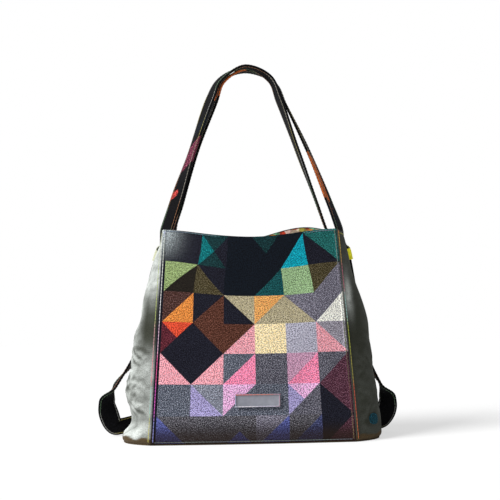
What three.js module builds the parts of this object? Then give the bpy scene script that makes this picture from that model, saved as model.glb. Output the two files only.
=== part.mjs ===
// Soft shoulder bag: patchwork front, canvas sides that bulge and fold, a flat base, a sewn-in lining,
// and two long cloth straps. Each strap starts at one lower corner, makes a slack loop, runs up that side
// through a keeper, arches over as a handle and is sewn inside the top of the other side.
// Millimetres, +Z up, +X to the right as seen from the front, and the front faces -Y.
// The origin is the middle of the base, on the surface that the bag stands on.
import * as THREE from "three";

// Driving dimensions of the body
const BAG_HEIGHT = 318; // to the top corners of the front and back
const FRONT_WIDTH_BOTTOM = 300; // between the front's side seams
const FRONT_WIDTH_TOP = 266;
const BASE_DEPTH = 130; // between the front and back seams
const MOUTH_DEPTH = 48;
const LEAN_POWER = 1.3; // above 1, the front leans in more towards the top
const FRONT_BOW_BASE = 4; // how far the middle of the front and back stands out past the seams
const FRONT_BOW_TOP = 14;
const SIDE_BULGE = 48; // how far a side swells past its seams at the base
const SIDE_FULLNESS_BASE = 3.2; // 2 is a round swell, more is boxier, towards 1 is a plain crease
const SIDE_FULLNESS_TOP = 1.6;
const TOP_FOLD = 11; // how far a side folds in at the top
const TOP_FOLD_HEIGHT = 45;
const BASE_ROUND = 10; // rounding from the walls into the base
const FRONT_SAG = 13; // how far the middle of each top edge hangs below its corners
const BACK_SAG = 10;
const BACK_LIFT = 12; // the back's top edge stands up to the right of its middle
const LIFT_LEAN = 1.3; // above 1, the lift is nearer the side seam
const SIDE_SAG = 7;
const SAG_POWER = 6; // above 1, the sag stays close to the top edge

// The left side is tucked in just above the base, most of all towards the front
const TUCK_DEPTH = 24;
const TUCK_HEIGHT = 26;
const TUCK_SPREAD_BELOW = 11;
const TUCK_SPREAD_ABOVE = 30;
const TUCK_FORWARD = 0.6; // below 1, the tuck is deepest forward of the middle

// Cloth and clearances
const WALL_THICKNESS = 2;
const BASE_THICKNESS = 1.8;
const LINING_THICKNESS = 0.8;
const LINING_DROP = 1.5; // lining rim below the top edge
const CLEARANCE = 0.3; // between any two pieces that touch
const KEEPER_CLEARANCE = 0.9; // a strap slides in its keeper
const INSIDE_CLEARANCE = 2.2; // between a strap's sewn end and the nearest facet of the lining

// Straps, keepers and plate
const STRAP_WIDTH = 25;
const STRAP_LOOP_WIDTH = 31;
const STRAP_THICKNESS = 3.6;
const STRAP_EDGE = 0.8; // chamfer along the folded edges
const STRAP_SEWN_LENGTH = 30; // sewn length inside the top of the other side
const STRAP_LAP = 14; // lower end sewn onto the back, inside the side seam
const STRAP_LAP_HEIGHT = 25; // middle of that end above the floor
const CORNER_BEHIND = 6; // over the side's top edge, behind the middle plane
const HANDLE_RISE = 257; // above the top corners
const SHOULDER_RISE = 205; // where the legs end and the arch starts to turn
const SHOULDER_HALF = 60; // half width there
const CROWN_RISE = 237; // where the arch is halfway round
const CROWN_HALF = 44;
const HANDLE_CROSSING = 11; // the two straps change places over the arch by this much
const HANDLE_APEX = -3; // top of the arch, left of the middle
const APEX_TWIST = -3; // degrees
const KEEPER_DROP = 34; // keeper below the top corners
const KEEPER_HEIGHT = 20;
const KEEPER_THICKNESS = 1.2;
const PLATE_WIDTH = 66;
const PLATE_HEIGHT = 19;
const PLATE_THICKNESS = 2.4;
const PLATE_RIM = 2;
const PLATE_RECESS = 0.9;
const PLATE_CORNER = 2.5;
const PLATE_CENTRE_X = 6;
const PLATE_CENTRE_HEIGHT = 63;

// Mesh steps
const FRONT_COLUMNS = 12;
const SIDE_COLUMNS = 12;
const WALL_ROWS = 18;
const EVEN_AT_BASE = 0.4; // 0 crowds a side's columns towards the seams at the base, 1 spaces them evenly
const STRAP_STEPS_PER_KEY = 4;
const KEEPER_SEAT_POINTS = 4;
const KEEPER_BOW_POINTS = 10;
const KEEPER_ROWS = 4;

const { lerp, smoothstep, clamp, degToRad } = THREE.MathUtils;

// Soft creases across a side: height at its middle, rise from front to back and half breadth as shares of
// the bag's height, depth as a share of the side's bulge, and lean. With a lean above 1 it is deepest behind
// the middle. A crease of less than no depth is a swell.
const LEFT_SIDE = {
  sign: -1,
  tuck: TUCK_DEPTH,
  creases: [
    { height: 0.352, rise: 0.145, depth: 0.104, breadth: 0.0535, lean: 1 },
    { height: 0.572, rise: -0.12, depth: 0.083, breadth: 0.0566, lean: 1 },
    { height: 0.88, rise: 0, depth: 0.146, breadth: 0.082, lean: 1.6 },
    { height: 0.9, rise: 0, depth: -0.083, breadth: 0.107, lean: 0.6 },
  ],
};
const RIGHT_SIDE = {
  sign: 1,
  tuck: 0,
  creases: [
    { height: 0.302, rise: -0.094, depth: 0.0625, breadth: 0.0566, lean: 1 },
    { height: 0.472, rise: 0.126, depth: 0.0625, breadth: 0.063, lean: 1 },
    { height: 0.582, rise: 0, depth: -0.1875, breadth: 0.22, lean: 1 },
    { height: 0.943, rise: 0, depth: -0.208, breadth: 0.126, lean: 0.6 },
    { height: 0.994, rise: 0, depth: -0.167, breadth: 0.0755, lean: 0.6 },
  ],
};

// Form of the body at a height

function edgeInset(z) {
  const below = clamp(BASE_ROUND - z, 0, BASE_ROUND);
  return BASE_ROUND - Math.sqrt(BASE_ROUND ** 2 - below ** 2);
}

function seamHalfWidth(z) {
  return lerp(FRONT_WIDTH_BOTTOM, FRONT_WIDTH_TOP, z / BAG_HEIGHT) / 2;
}

function seamHalfDepth(z) {
  const lean = clamp(z / BAG_HEIGHT, 0, 1) ** LEAN_POWER;
  return lerp(BASE_DEPTH, MOUTH_DEPTH, lean) / 2 - edgeInset(z);
}

function frontBow(z) {
  return lerp(FRONT_BOW_BASE, FRONT_BOW_TOP, smoothstep(z, 0, BAG_HEIGHT / 2));
}

function sideBulge(z) {
  return SIDE_BULGE * (1 - clamp(z / BAG_HEIGHT, 0, 1) ** 2) - edgeInset(z);
}

function sideFold(z) {
  return TOP_FOLD * smoothstep(z, BAG_HEIGHT - TOP_FOLD_HEIGHT, BAG_HEIGHT);
}

function sideFullness(z) {
  return lerp(SIDE_FULLNESS_BASE, SIDE_FULLNESS_TOP, clamp(z / BAG_HEIGHT, 0, 1));
}

// How far the tuck and the creases pull a side in; share runs from 0 at the front seam to 1 at the back
function sidePull(side, share, z) {
  const away = z - TUCK_HEIGHT;
  const spread = away < 0 ? TUCK_SPREAD_BELOW : TUCK_SPREAD_ABOVE;
  const tuckShare = Math.sin(Math.PI * share ** TUCK_FORWARD) ** 2;
  const tuck = side.tuck * Math.exp(-((away / spread) ** 2)) * tuckShare;
  let creased = 0;
  for (const { height, rise, depth, breadth, lean } of side.creases) {
    const off = z / BAG_HEIGHT - height - rise * (share - 0.5);
    creased += depth * Math.exp(-((off / breadth) ** 2)) * Math.sin(Math.PI * share ** lean) ** 2;
  }
  return tuck + creased * SIDE_BULGE;
}

// Distance of a side's outer face from the middle plane
function sideReach(side, share, z) {
  const swell = sideBulge(z) * (1 - Math.abs(2 * share - 1) ** sideFullness(z));
  const fold = sideFold(z) * Math.sin(Math.PI * share) ** 2;
  return seamHalfWidth(z) + swell - fold - sidePull(side, share, z);
}

// One level of the body, seen from above, anticlockwise from the front's left seam.
// Each point also holds how far it sags at the top edge.
function bodyRing(z) {
  const halfWidth = seamHalfWidth(z);
  const halfDepth = seamHalfDepth(z);
  const sagging = (z / BAG_HEIGHT) ** SAG_POWER;
  const points = [];
  const add = (x, y, sag) => points.push({ x, y, sag: sag * sagging });
  const addFace = (sign, sag, lift) => {
    for (let i = 0; i < FRONT_COLUMNS; i++) {
      const across = sign * ((2 * i) / FRONT_COLUMNS - 1);
      const crown = 1 - across ** 2;
      const lifted = lift * Math.sin(Math.PI * Math.max(across, 0) ** LIFT_LEAN);
      add(across * halfWidth, -sign * (halfDepth + frontBow(z) * crown), sag * crown ** 2 - lifted);
    }
  };
  const addSide = (side) => {
    for (let i = 0; i < SIDE_COLUMNS; i++) {
      const even = i / SIDE_COLUMNS;
      const crowded = (1 - Math.cos(Math.PI * even)) / 2;
      const run = lerp(crowded, even, clamp(z / BAG_HEIGHT + EVEN_AT_BASE, 0, 1));
      const share = side.sign > 0 ? run : 1 - run;
      const back = 2 * share - 1;
      add(side.sign * sideReach(side, share, z), halfDepth * back, SIDE_SAG * (1 - back ** 2));
    }
  };
  addFace(1, FRONT_SAG, 0);
  addSide(RIGHT_SIDE);
  addFace(-1, BACK_SAG, BACK_LIFT);
  addSide(LEFT_SIDE);
  return points;
}

const RING_POINTS = 2 * (FRONT_COLUMNS + SIDE_COLUMNS);
const FRONT_SPAN = { first: 0, columns: FRONT_COLUMNS };
const RIGHT_SPAN = { first: FRONT_COLUMNS, columns: SIDE_COLUMNS };
const BACK_SPAN = { first: FRONT_COLUMNS + SIDE_COLUMNS, columns: FRONT_COLUMNS };
const LEFT_SPAN = { first: 2 * FRONT_COLUMNS + SIDE_COLUMNS, columns: SIDE_COLUMNS };

function directionTo(from, to) {
  return new THREE.Vector2(to.x - from.x, to.y - from.y).normalize();
}

// Distance of the front's or back's outer face from the middle plane
function faceDepth(x, z) {
  const crown = 1 - (x / seamHalfWidth(z)) ** 2;
  return seamHalfDepth(z) + frontBow(z) * crown;
}

// The mitred way inwards at each point of a ring, as long as it takes to move both its edges in by 1
function inwardMitres(ring) {
  return ring.map((point, i) => {
    const before = directionTo(ring.at(i - 1), point);
    const after = directionTo(point, ring[(i + 1) % ring.length]);
    const inward = new THREE.Vector2(-before.y - after.y, before.x + after.x);
    return inward.divideScalar(1 + before.dot(after));
  });
}

function insetRing(z, depth) {
  const ring = bodyRing(z);
  const mitres = inwardMitres(ring);
  return ring.map((point, i) => {
    const moved = mitres[i].clone().multiplyScalar(depth).add(point);
    return new THREE.Vector3(moved.x, moved.y, z - point.sag);
  });
}

// One row of a wall panel, its two ends pulled back from the mitred seams by half the clearance
function panelRow(z, depth, span) {
  const ring = bodyRing(z);
  const mitres = inwardMitres(ring);
  const inset = insetRing(z, depth);
  const row = [];
  for (let i = 0; i <= span.columns; i++) {
    row.push(inset[(span.first + i) % RING_POINTS].clone());
  }
  const pullBack = (end, next, corner) => {
    const along = new THREE.Vector3().subVectors(row.at(next), row.at(end)).setZ(0).normalize();
    const mitre = mitres[corner % RING_POINTS].clone().normalize();
    const slant = Math.abs(along.x * mitre.y - along.y * mitre.x);
    row.at(end).addScaledVector(along, CLEARANCE / 2 / slant);
  };
  pullBack(0, 1, span.first);
  pullBack(-1, -2, span.first + span.columns);
  return row;
}

// A closed solid skinned over loops of points. The loops are alike in count, and the two ends are capped
// by strips across the loop, or joined to each other where the loops run round a ring. A wall's loop goes
// out along its face and home along its back, and there the facets are split alike on both.
function skin(loops, { joined = false, wall = false } = {}) {
  const count = loops[0].length;
  const positions = loops.flat().flatMap((point) => point.toArray());
  const triangles = [];
  const corner = (loop, k) => (loop % loops.length) * count + (k % count);
  const quad = (a, b, c, d) => triangles.push(a, b, c, a, c, d);
  const steps = joined ? loops.length : loops.length - 1;
  for (let loop = 0; loop < steps; loop++) {
    for (let k = 0; k < count; k++) {
      const facet = [corner(loop, k), corner(loop, k + 1), corner(loop + 1, k + 1), corner(loop + 1, k)];
      if (wall && k >= count / 2) {
        facet.push(facet.shift());
      }
      quad(...facet);
    }
  }
  const cap = (loop, flipped) => {
    for (let k = 0; k < count / 2 - 1; k++) {
      const strip = [k, count - 1 - k, count - 2 - k, k + 1].map((place) => corner(loop, place));
      quad(...(flipped ? strip.reverse() : strip));
    }
  };
  if (!joined) {
    cap(0, false);
    cap(loops.length - 1, true);
  }
  const geometry = new THREE.BufferGeometry();
  geometry.setAttribute("position", new THREE.Float32BufferAttribute(positions, 3));
  geometry.setIndex(triangles);
  geometry.computeVertexNormals();
  return geometry;
}

// Levels from the base up, closer together near the base and the top edge
const WALL_FOOT = BASE_THICKNESS + CLEARANCE;

const WALL_LEVELS = [];
for (let i = 0; i <= WALL_ROWS; i++) {
  WALL_LEVELS.push(lerp(WALL_FOOT, BAG_HEIGHT, (1 - Math.cos((Math.PI * i) / WALL_ROWS)) / 2));
}

function wallPanel(span) {
  const loops = WALL_LEVELS.map((z) => {
    const outer = panelRow(z, 0, span);
    const inner = panelRow(z, WALL_THICKNESS, span);
    return [...outer, ...inner.reverse()];
  });
  return skin(loops, { wall: true });
}

function basePanel() {
  const outline = insetRing(WALL_FOOT, 0);
  const atHeight = (z) => outline.map((point) => point.clone().setZ(z));
  return skin([atHeight(0), atHeight(BASE_THICKNESS)]);
}

const LINING_OUTSIDE = WALL_THICKNESS + CLEARANCE;
const LINING_INSIDE = LINING_OUTSIDE + LINING_THICKNESS;

const LINING_RIM = BAG_HEIGHT - LINING_DROP;
const LINING_LEVELS = [...WALL_LEVELS.filter((z) => z < LINING_RIM - LINING_DROP), LINING_RIM];

function lining() {
  const levels = [...LINING_LEVELS];
  const outside = levels.map((z) => insetRing(z, LINING_OUTSIDE));
  levels[0] += LINING_THICKNESS;
  const inside = levels.map((z) => insetRing(z, LINING_INSIDE));
  return skin([...outside, ...inside.reverse()]);
}

// Straps are laid out as if they started on the right; the left one is mirrored.
// Twist 0 has the strap's width from front to back, and a positive twist turns its back edge inwards.

// The level of a side's middle that has sagged to this height
function sideLevelAt(z) {
  return clamp(z + SIDE_SAG * (z / BAG_HEIGHT) ** SAG_POWER, 0, BAG_HEIGHT);
}

function outsideSeat(side, y, z, twist, width = STRAP_WIDTH) {
  const level = sideLevelAt(z);
  const halfDepth = seamHalfDepth(level);
  let reach = 0;
  for (const edge of [-1, -0.5, 0, 0.5, 1]) {
    const across = (edge * width) / 2;
    const share = clamp((y + across * Math.cos(twist)) / halfDepth, -1, 1) / 2 + 0.5;
    reach = Math.max(reach, sideReach(side, share, level) + across * Math.sin(twist));
  }
  return reach + STRAP_THICKNESS / 2 / Math.cos(twist) + CLEARANCE;
}

// How near the middle plane the lining's flat facets come at one side
function liningReach(span, level) {
  const nearest = (z) => {
    const inset = insetRing(z, LINING_INSIDE).slice(span.first + 1, span.first + span.columns);
    return Math.min(...inset.map((point) => Math.abs(point.x)));
  };
  const next = Math.max(1, LINING_LEVELS.findIndex((z) => z >= level));
  const below = LINING_LEVELS[next - 1];
  const above = LINING_LEVELS[next];
  return lerp(nearest(below), nearest(above), (level - below) / (above - below));
}

function insideSeat(span, z) {
  const level = Math.min(sideLevelAt(z), LINING_RIM);
  return liningReach(span, level) - INSIDE_CLEARANCE - STRAP_THICKNESS / 2;
}

const KEEPER_WIDTH = STRAP_WIDTH + 2 * (KEEPER_THICKNESS + KEEPER_CLEARANCE);

// Over the arch the two straps lie side by side
const ARCH_Y = STRAP_WIDTH / 2 + CLEARANCE;

// What differs between the straps. Loop keys have a distance out from the widest part of the side, a
// distance behind the middle plane, a height and a twist in degrees. Climb is how far back the strap runs
// up the side, as a share of the way to the back seam, and the keeper's slack is how far it stands off the
// strap. The corner is where the strap leans off the top edge, nearLeg is the leg above its own keeper, and
// farLeg is the one that is sewn in. A leg's bow is how far it curves outwards, and its twists go from its
// foot up to the crown of the arch.
const LEFT_STRAP = {
  mirror: -1,
  side: LEFT_SIDE,
  farSpan: RIGHT_SPAN,
  archY: -ARCH_Y,
  apexX: -HANDLE_APEX,
  loop: [
    { out: 6, behind: 46, height: 17, twist: 88 },
    { out: 18, behind: 42, height: 24, twist: 86 },
    { out: 27, behind: 37, height: 38, twist: 80 },
    { out: 28, behind: 33, height: 58, twist: 40 },
    { out: 19, behind: 31, height: 82, twist: -36 },
  ],
  loopTop: 132,
  climb: 0.72,
  keeper: { slack: 0.8, twist: 17 },
  corner: { out: -4, twist: -44 },
  nearLeg: { bow: 1, twists: [-36, -24, -30, -16] },
  farLeg: { bow: 3, twists: [-6, 0, 4, 2] },
};
const RIGHT_STRAP = {
  mirror: 1,
  side: RIGHT_SIDE,
  farSpan: LEFT_SPAN,
  archY: ARCH_Y,
  apexX: HANDLE_APEX,
  loop: [
    { out: 4, behind: 46, height: 17, twist: 88 },
    { out: 13, behind: 42, height: 23, twist: 86 },
    { out: 21, behind: 38, height: 35, twist: 82 },
    { out: 22, behind: 34, height: 53, twist: 50 },
    { out: 15, behind: 31, height: 78, twist: -8 },
  ],
  loopTop: 112,
  climb: 0.6,
  keeper: { slack: 2.5, twist: 8 },
  corner: { out: -5.7, twist: -34 },
  nearLeg: { bow: 4, twists: [-28, -19, -9, -5] },
  farLeg: { bow: 4, twists: [-24, -14, -22, -12] },
};

// Up the side from the loop to the keeper: share of the rise, twist in degrees and slack off the side
const CLIMB_KEYS = [
  { rise: 0, twist: 20, slack: 3 },
  { rise: 0.36, twist: 34, slack: 2 },
  { rise: 0.7, twist: 24, slack: 2 },
];

// Up each leg of the handle: height above the top corners, share of its bow, and share of the way from the
// middle plane to the strap's own place on the arch
const LEG_KEYS = [
  { rise: 0.224 * SHOULDER_RISE, bow: 0.7, apart: 0.3 },
  { rise: 0.615 * SHOULDER_RISE, bow: 1, apart: 0.5 },
  { rise: SHOULDER_RISE, bow: 0, apart: 0.9 },
];
const SEWN_SHARES = [0.4, 0.7, 1]; // of the length sewn inside

// The hand-laid route: each key has the place of the strap's middle and its twist
function strapKeys(strap) {
  const keys = [];
  const add = (x, y, z, twist) => keys.push({ place: new THREE.Vector3(x, y, z), twist: degToRad(twist) });
  // lower end, lapped onto the back, and the slack loop
  const lapX = seamHalfWidth(STRAP_LAP_HEIGHT) - STRAP_LAP;
  const lapY = faceDepth(lapX, STRAP_LAP_HEIGHT - STRAP_LOOP_WIDTH / 2) + STRAP_THICKNESS / 2 + CLEARANCE;
  add(lapX, lapY, STRAP_LAP_HEIGHT, 90);
  add(lapX + STRAP_LAP, lapY, STRAP_LAP_HEIGHT, 90);
  for (const { out, behind, height, twist } of strap.loop) {
    add(sideReach(RIGHT_SIDE, 0.5, height) + out, behind, height, twist);
  }
  // up the rear of the side, through the keeper and past the fold at the top
  const keeperZ = BAG_HEIGHT - KEEPER_DROP;
  for (const { rise, twist, slack } of CLIMB_KEYS) {
    const z = lerp(strap.loopTop, keeperZ, rise);
    const y = seamHalfDepth(z) * strap.climb;
    add(outsideSeat(strap.side, y, z, degToRad(twist)) + slack, y, z, twist);
  }
  const keeperY = seamHalfDepth(keeperZ) * strap.climb;
  const keeperFoot = keeperZ - KEEPER_HEIGHT / 2;
  const keeperTwist = degToRad(strap.keeper.twist);
  const keeperX = outsideSeat(strap.side, keeperY, keeperFoot, keeperTwist, KEEPER_WIDTH);
  add(keeperX + KEEPER_THICKNESS + KEEPER_CLEARANCE, keeperY, keeperZ, strap.keeper.twist);
  const cornerSeat = outsideSeat(strap.side, CORNER_BEHIND, BAG_HEIGHT, degToRad(strap.corner.twist));
  const cornerX = cornerSeat + strap.corner.out;
  add(cornerX, CORNER_BEHIND, BAG_HEIGHT + STRAP_THICKNESS, strap.corner.twist);
  // over the arch
  const farX = insideSeat(strap.farSpan, BAG_HEIGHT - LINING_DROP);
  const legKeys = (sign, foot, crossing, leg) => {
    const places = LEG_KEYS.map(({ rise, bow, apart }) => {
      const x = lerp(foot, SHOULDER_HALF - crossing, rise / SHOULDER_RISE) + bow * leg.bow;
      return [sign * x, apart * strap.archY, BAG_HEIGHT + rise];
    });
    places.push([sign * (CROWN_HALF - crossing / 2), strap.archY, BAG_HEIGHT + CROWN_RISE]);
    return places.map((place, i) => [...place, leg.twists[i]]);
  };
  const nearKeys = legKeys(1, cornerX, 0, strap.nearLeg);
  const farKeys = legKeys(-1, farX, HANDLE_CROSSING, strap.farLeg);
  nearKeys.forEach((key) => add(...key));
  add(strap.apexX, strap.archY, BAG_HEIGHT + HANDLE_RISE, APEX_TWIST);
  farKeys.reverse().forEach((key) => add(...key));
  // down inside the other side, against the lining
  add(-farX, 0, BAG_HEIGHT, 0);
  for (const down of SEWN_SHARES) {
    const z = BAG_HEIGHT - down * STRAP_SEWN_LENGTH;
    add(-insideSeat(strap.farSpan, z), 0, z, 0);
  }
  return keys;
}

// Place and directions of the strap at a share of its route
function strapStation(strap, keys, curve, share) {
  const place = curve.getPoint(share);
  const ahead = curve.getTangent(share);
  const depthwise = new THREE.Vector3(0, 1, 0).addScaledVector(ahead, -ahead.y).normalize();
  const outward = new THREE.Vector3().crossVectors(ahead, depthwise);
  const run = share * (keys.length - 1);
  const key = Math.min(Math.floor(run), keys.length - 2);
  const twist = lerp(keys[key].twist, keys[key + 1].twist, smoothstep(run - key, 0, 1));
  const across = depthwise.clone().multiplyScalar(Math.cos(twist)).addScaledVector(outward, Math.sin(twist));
  const face = new THREE.Vector3().crossVectors(across, ahead);
  for (const vector of [place, ahead, across, face]) {
    vector.x *= strap.mirror;
  }
  return { place, across, face };
}

function strapCurve(keys) {
  return new THREE.CatmullRomCurve3(keys.map((key) => key.place), false, "centripetal");
}

// A point of a section that lies across a strap
function sectionPoint(station, across, out) {
  return station.place.clone().addScaledVector(station.across, across).addScaledVector(station.face, out);
}

// Half of the strap's width at a run counted in keys: the loop is wider than the rest
function strapHalfWidth(strap, run) {
  const climbKey = 2 + strap.loop.length;
  return lerp(STRAP_LOOP_WIDTH, STRAP_WIDTH, smoothstep(run, climbKey - 2, climbKey)) / 2;
}

function strapSection(halfWidth) {
  const halfThickness = STRAP_THICKNESS / 2;
  return [
    [-halfWidth, -halfThickness + STRAP_EDGE],
    [-halfWidth + STRAP_EDGE, -halfThickness],
    [halfWidth - STRAP_EDGE, -halfThickness],
    [halfWidth, -halfThickness + STRAP_EDGE],
    [halfWidth, halfThickness - STRAP_EDGE],
    [halfWidth - STRAP_EDGE, halfThickness],
    [-halfWidth + STRAP_EDGE, halfThickness],
    [-halfWidth, halfThickness - STRAP_EDGE],
  ];
}

function strapGeometry(strap) {
  const keys = strapKeys(strap);
  const curve = strapCurve(keys);
  const steps = (keys.length - 1) * STRAP_STEPS_PER_KEY;
  const loops = [];
  for (let i = 0; i <= steps; i++) {
    const station = strapStation(strap, keys, curve, i / steps);
    const section = strapSection(strapHalfWidth(strap, i / STRAP_STEPS_PER_KEY));
    const loop = section.map(([across, out]) => sectionPoint(station, across, out));
    loops.push(strap.mirror > 0 ? loop.reverse() : loop);
  }
  return skin(loops);
}

// A cloth loop round the strap, sewn to the side, with some slack on its outer face
function keeperGeometry(strap) {
  const keys = strapKeys(strap);
  const curve = strapCurve(keys);
  const keeperZ = BAG_HEIGHT - KEEPER_DROP;
  const atKeeper = keys.findIndex((key) => key.place.z === keeperZ) / (keys.length - 1);
  const pace = curve.getPoint(atKeeper + 0.001).distanceTo(curve.getPoint(atKeeper - 0.001)) / 0.002;
  const seatedOut = STRAP_THICKNESS / 2 + KEEPER_CLEARANCE;
  const section = (extra) => {
    const halfAcross = KEEPER_WIDTH / 2 - KEEPER_THICKNESS + extra;
    const outline = [];
    for (let i = 0; i <= KEEPER_SEAT_POINTS; i++) {
      outline.push([halfAcross * ((2 * i) / KEEPER_SEAT_POINTS - 1), -seatedOut - extra]);
    }
    for (let i = 0; i <= KEEPER_BOW_POINTS; i++) {
      const angle = (Math.PI * i) / KEEPER_BOW_POINTS;
      const out = seatedOut + (strap.keeper.slack + extra) * Math.sin(angle);
      outline.push([halfAcross * Math.cos(angle), out]);
    }
    return outline;
  };
  const outside = section(KEEPER_THICKNESS);
  const inside = section(0);
  const rows = [];
  for (let i = 0; i <= KEEPER_ROWS; i++) {
    const share = atKeeper + ((i / KEEPER_ROWS - 0.5) * KEEPER_HEIGHT) / pace;
    rows.push(strapStation(strap, keys, curve, share));
  }
  const loops = outside.map((outsidePoint, k) => {
    const face = rows.map((station) => sectionPoint(station, ...outsidePoint));
    const back = rows.map((station) => sectionPoint(station, ...inside[k]));
    const loop = [...face, ...back.reverse()];
    return strap.mirror > 0 ? loop : loop.reverse();
  });
  return skin(loops, { joined: true });
}

// A bare plate with a raised rim, laid on the lean of the front

function roundedOutline(width, height, radius) {
  const shape = new THREE.Shape();
  const x = width / 2;
  const y = height / 2;
  shape.moveTo(-x + radius, -y);
  shape.lineTo(x - radius, -y);
  shape.absarc(x - radius, -y + radius, radius, -Math.PI / 2, 0);
  shape.absarc(x - radius, y - radius, radius, 0, Math.PI / 2);
  shape.absarc(-x + radius, y - radius, radius, Math.PI / 2, Math.PI);
  shape.absarc(-x + radius, -y + radius, radius, Math.PI, Math.PI * 1.5);
  return shape.getPoints(3).slice(0, -1);
}

function plateGeometry() {
  const outside = roundedOutline(PLATE_WIDTH, PLATE_HEIGHT, PLATE_CORNER);
  const rimLess = 2 * PLATE_RIM;
  const recess = roundedOutline(PLATE_WIDTH - rimLess, PLATE_HEIGHT - rimLess, PLATE_CORNER / 2);
  const raise = (outline, z) => outline.map((point) => new THREE.Vector3(point.x, point.y, z));
  return skin([
    raise(outside, 0),
    raise(outside, PLATE_THICKNESS),
    raise(recess, PLATE_THICKNESS),
    raise(recess, PLATE_THICKNESS - PLATE_RECESS),
  ]);
}

// The bag as an assembly

const bag = new THREE.Group();

function addPiece(name, geometry, color, roughness, metalness = 0) {
  const mesh = new THREE.Mesh(geometry, new THREE.MeshStandardMaterial({ color, roughness, metalness }));
  mesh.name = name;
  bag.add(mesh);
  return mesh;
}

const PATCHWORK = 0x3a2f45;
const CANVAS = 0x5a5b56;
const STRAP_CLOTH = 0x1b1a20;
const KEEPER_CLOTH = 0xe2d53a;

addPiece("front_panel", wallPanel(FRONT_SPAN), PATCHWORK, 0.9);
addPiece("back_panel", wallPanel(BACK_SPAN), PATCHWORK, 0.9);
addPiece("left_gusset", wallPanel(LEFT_SPAN), CANVAS, 0.92);
addPiece("right_gusset", wallPanel(RIGHT_SPAN), CANVAS, 0.92);
addPiece("base_panel", basePanel(), CANVAS, 0.92);
addPiece("lining", lining(), 0xb8683a, 0.85);
addPiece("left_strap", strapGeometry(LEFT_STRAP), STRAP_CLOTH, 0.88);
addPiece("right_strap", strapGeometry(RIGHT_STRAP), STRAP_CLOTH, 0.88);
addPiece("left_keeper", keeperGeometry(LEFT_STRAP), KEEPER_CLOTH, 0.85);
addPiece("right_keeper", keeperGeometry(RIGHT_STRAP), KEEPER_CLOTH, 0.85);

const plate = addPiece("front_plate", plateGeometry(), 0x6b6d75, 0.5);
const plateFoot = faceDepth(PLATE_CENTRE_X, PLATE_CENTRE_HEIGHT - PLATE_HEIGHT / 2);
const plateHead = faceDepth(PLATE_CENTRE_X, PLATE_CENTRE_HEIGHT + PLATE_HEIGHT / 2);
const plateLean = Math.atan2(plateFoot - plateHead, PLATE_HEIGHT);
const plateOut = faceDepth(PLATE_CENTRE_X, PLATE_CENTRE_HEIGHT) + CLEARANCE * 2;
plate.position.set(PLATE_CENTRE_X, -plateOut, PLATE_CENTRE_HEIGHT);
plate.rotation.x = Math.PI / 2 - plateLean;

export default bag;
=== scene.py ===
import math
from functools import partial

import bpy
from mathutils import Matrix, Vector, noise


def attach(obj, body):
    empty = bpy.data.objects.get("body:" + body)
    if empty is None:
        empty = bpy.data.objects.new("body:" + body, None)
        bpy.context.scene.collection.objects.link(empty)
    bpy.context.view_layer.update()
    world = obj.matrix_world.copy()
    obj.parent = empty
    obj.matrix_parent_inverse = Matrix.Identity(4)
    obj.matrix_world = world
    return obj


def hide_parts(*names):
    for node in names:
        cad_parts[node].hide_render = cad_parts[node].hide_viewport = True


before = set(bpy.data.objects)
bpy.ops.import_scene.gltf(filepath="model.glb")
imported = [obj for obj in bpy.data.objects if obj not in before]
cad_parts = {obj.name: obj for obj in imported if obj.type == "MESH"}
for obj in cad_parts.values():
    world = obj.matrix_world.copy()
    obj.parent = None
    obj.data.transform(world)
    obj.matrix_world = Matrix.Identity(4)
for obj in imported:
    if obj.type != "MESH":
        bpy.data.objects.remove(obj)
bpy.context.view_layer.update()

MM = 0.001

# Body of the bag, in the sizes of its solids
BAG_HEIGHT = 318 * MM
FRONT_WIDTH_BOTTOM = 300 * MM
FRONT_WIDTH_TOP = 266 * MM
BASE_DEPTH = 130 * MM
MOUTH_DEPTH = 48 * MM
LEAN_POWER = 1.3
FACE_BOW_BASE = 4 * MM
FACE_BOW_TOP = 14 * MM
SIDE_BULGE = 48 * MM
SIDE_FULLNESS_BASE = 3.2
SIDE_FULLNESS_TOP = 1.6
TOP_FOLD = 11 * MM
TOP_FOLD_HEIGHT = 45 * MM
BASE_ROUND = 10 * MM
FRONT_SAG = 13 * MM
BACK_SAG = 10 * MM
BACK_LIFT = 12 * MM
LIFT_LEAN = 1.3
SIDE_SAG = 7 * MM
SAG_POWER = 6
TUCK_HEIGHT = 26 * MM
TUCK_SPREAD_BELOW = 11 * MM
TUCK_SPREAD_ABOVE = 30 * MM
TUCK_FORWARD = 0.6
WALL_THICKNESS = 2 * MM
BASE_THICKNESS = 1.8 * MM
WALL_FOOT = 2.1 * MM
LINING_THICKNESS = 0.8 * MM
LINING_DROP = 1.5 * MM
CLEARANCE = 0.3 * MM

# Straps, keepers and plate, in the sizes of their solids
STRAP_WIDTH = 25 * MM
LOOP_WIDTH = 31 * MM
STRAP_THICKNESS = 3.6 * MM
STRAP_SEWN_LENGTH = 30 * MM
STRAP_LAP = 14 * MM
STRAP_LAP_HEIGHT = 25 * MM
INSIDE_CLEARANCE = 2.2 * MM
CORNER_BEHIND = 6 * MM
HANDLE_RISE = 258 * MM
SHOULDER_RISE = 205 * MM
SHOULDER_HALF = 60 * MM
CROWN_RISE = 238.5 * MM
CROWN_HALF = 44 * MM
HANDLE_APEX = -3 * MM
APEX_TWIST = -3
ARCH_WIDTH = 21 * MM
ARCH_Y = ARCH_WIDTH / 2 + CLEARANCE
KEEPER_DROP = 34 * MM
KEEPER_HEIGHT = 20 * MM
KEEPER_THICKNESS = 1.2 * MM
KEEPER_CLEARANCE = 0.9 * MM
KEEPER_WIDTH = STRAP_WIDTH + 2 * (KEEPER_THICKNESS + KEEPER_CLEARANCE)
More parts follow.
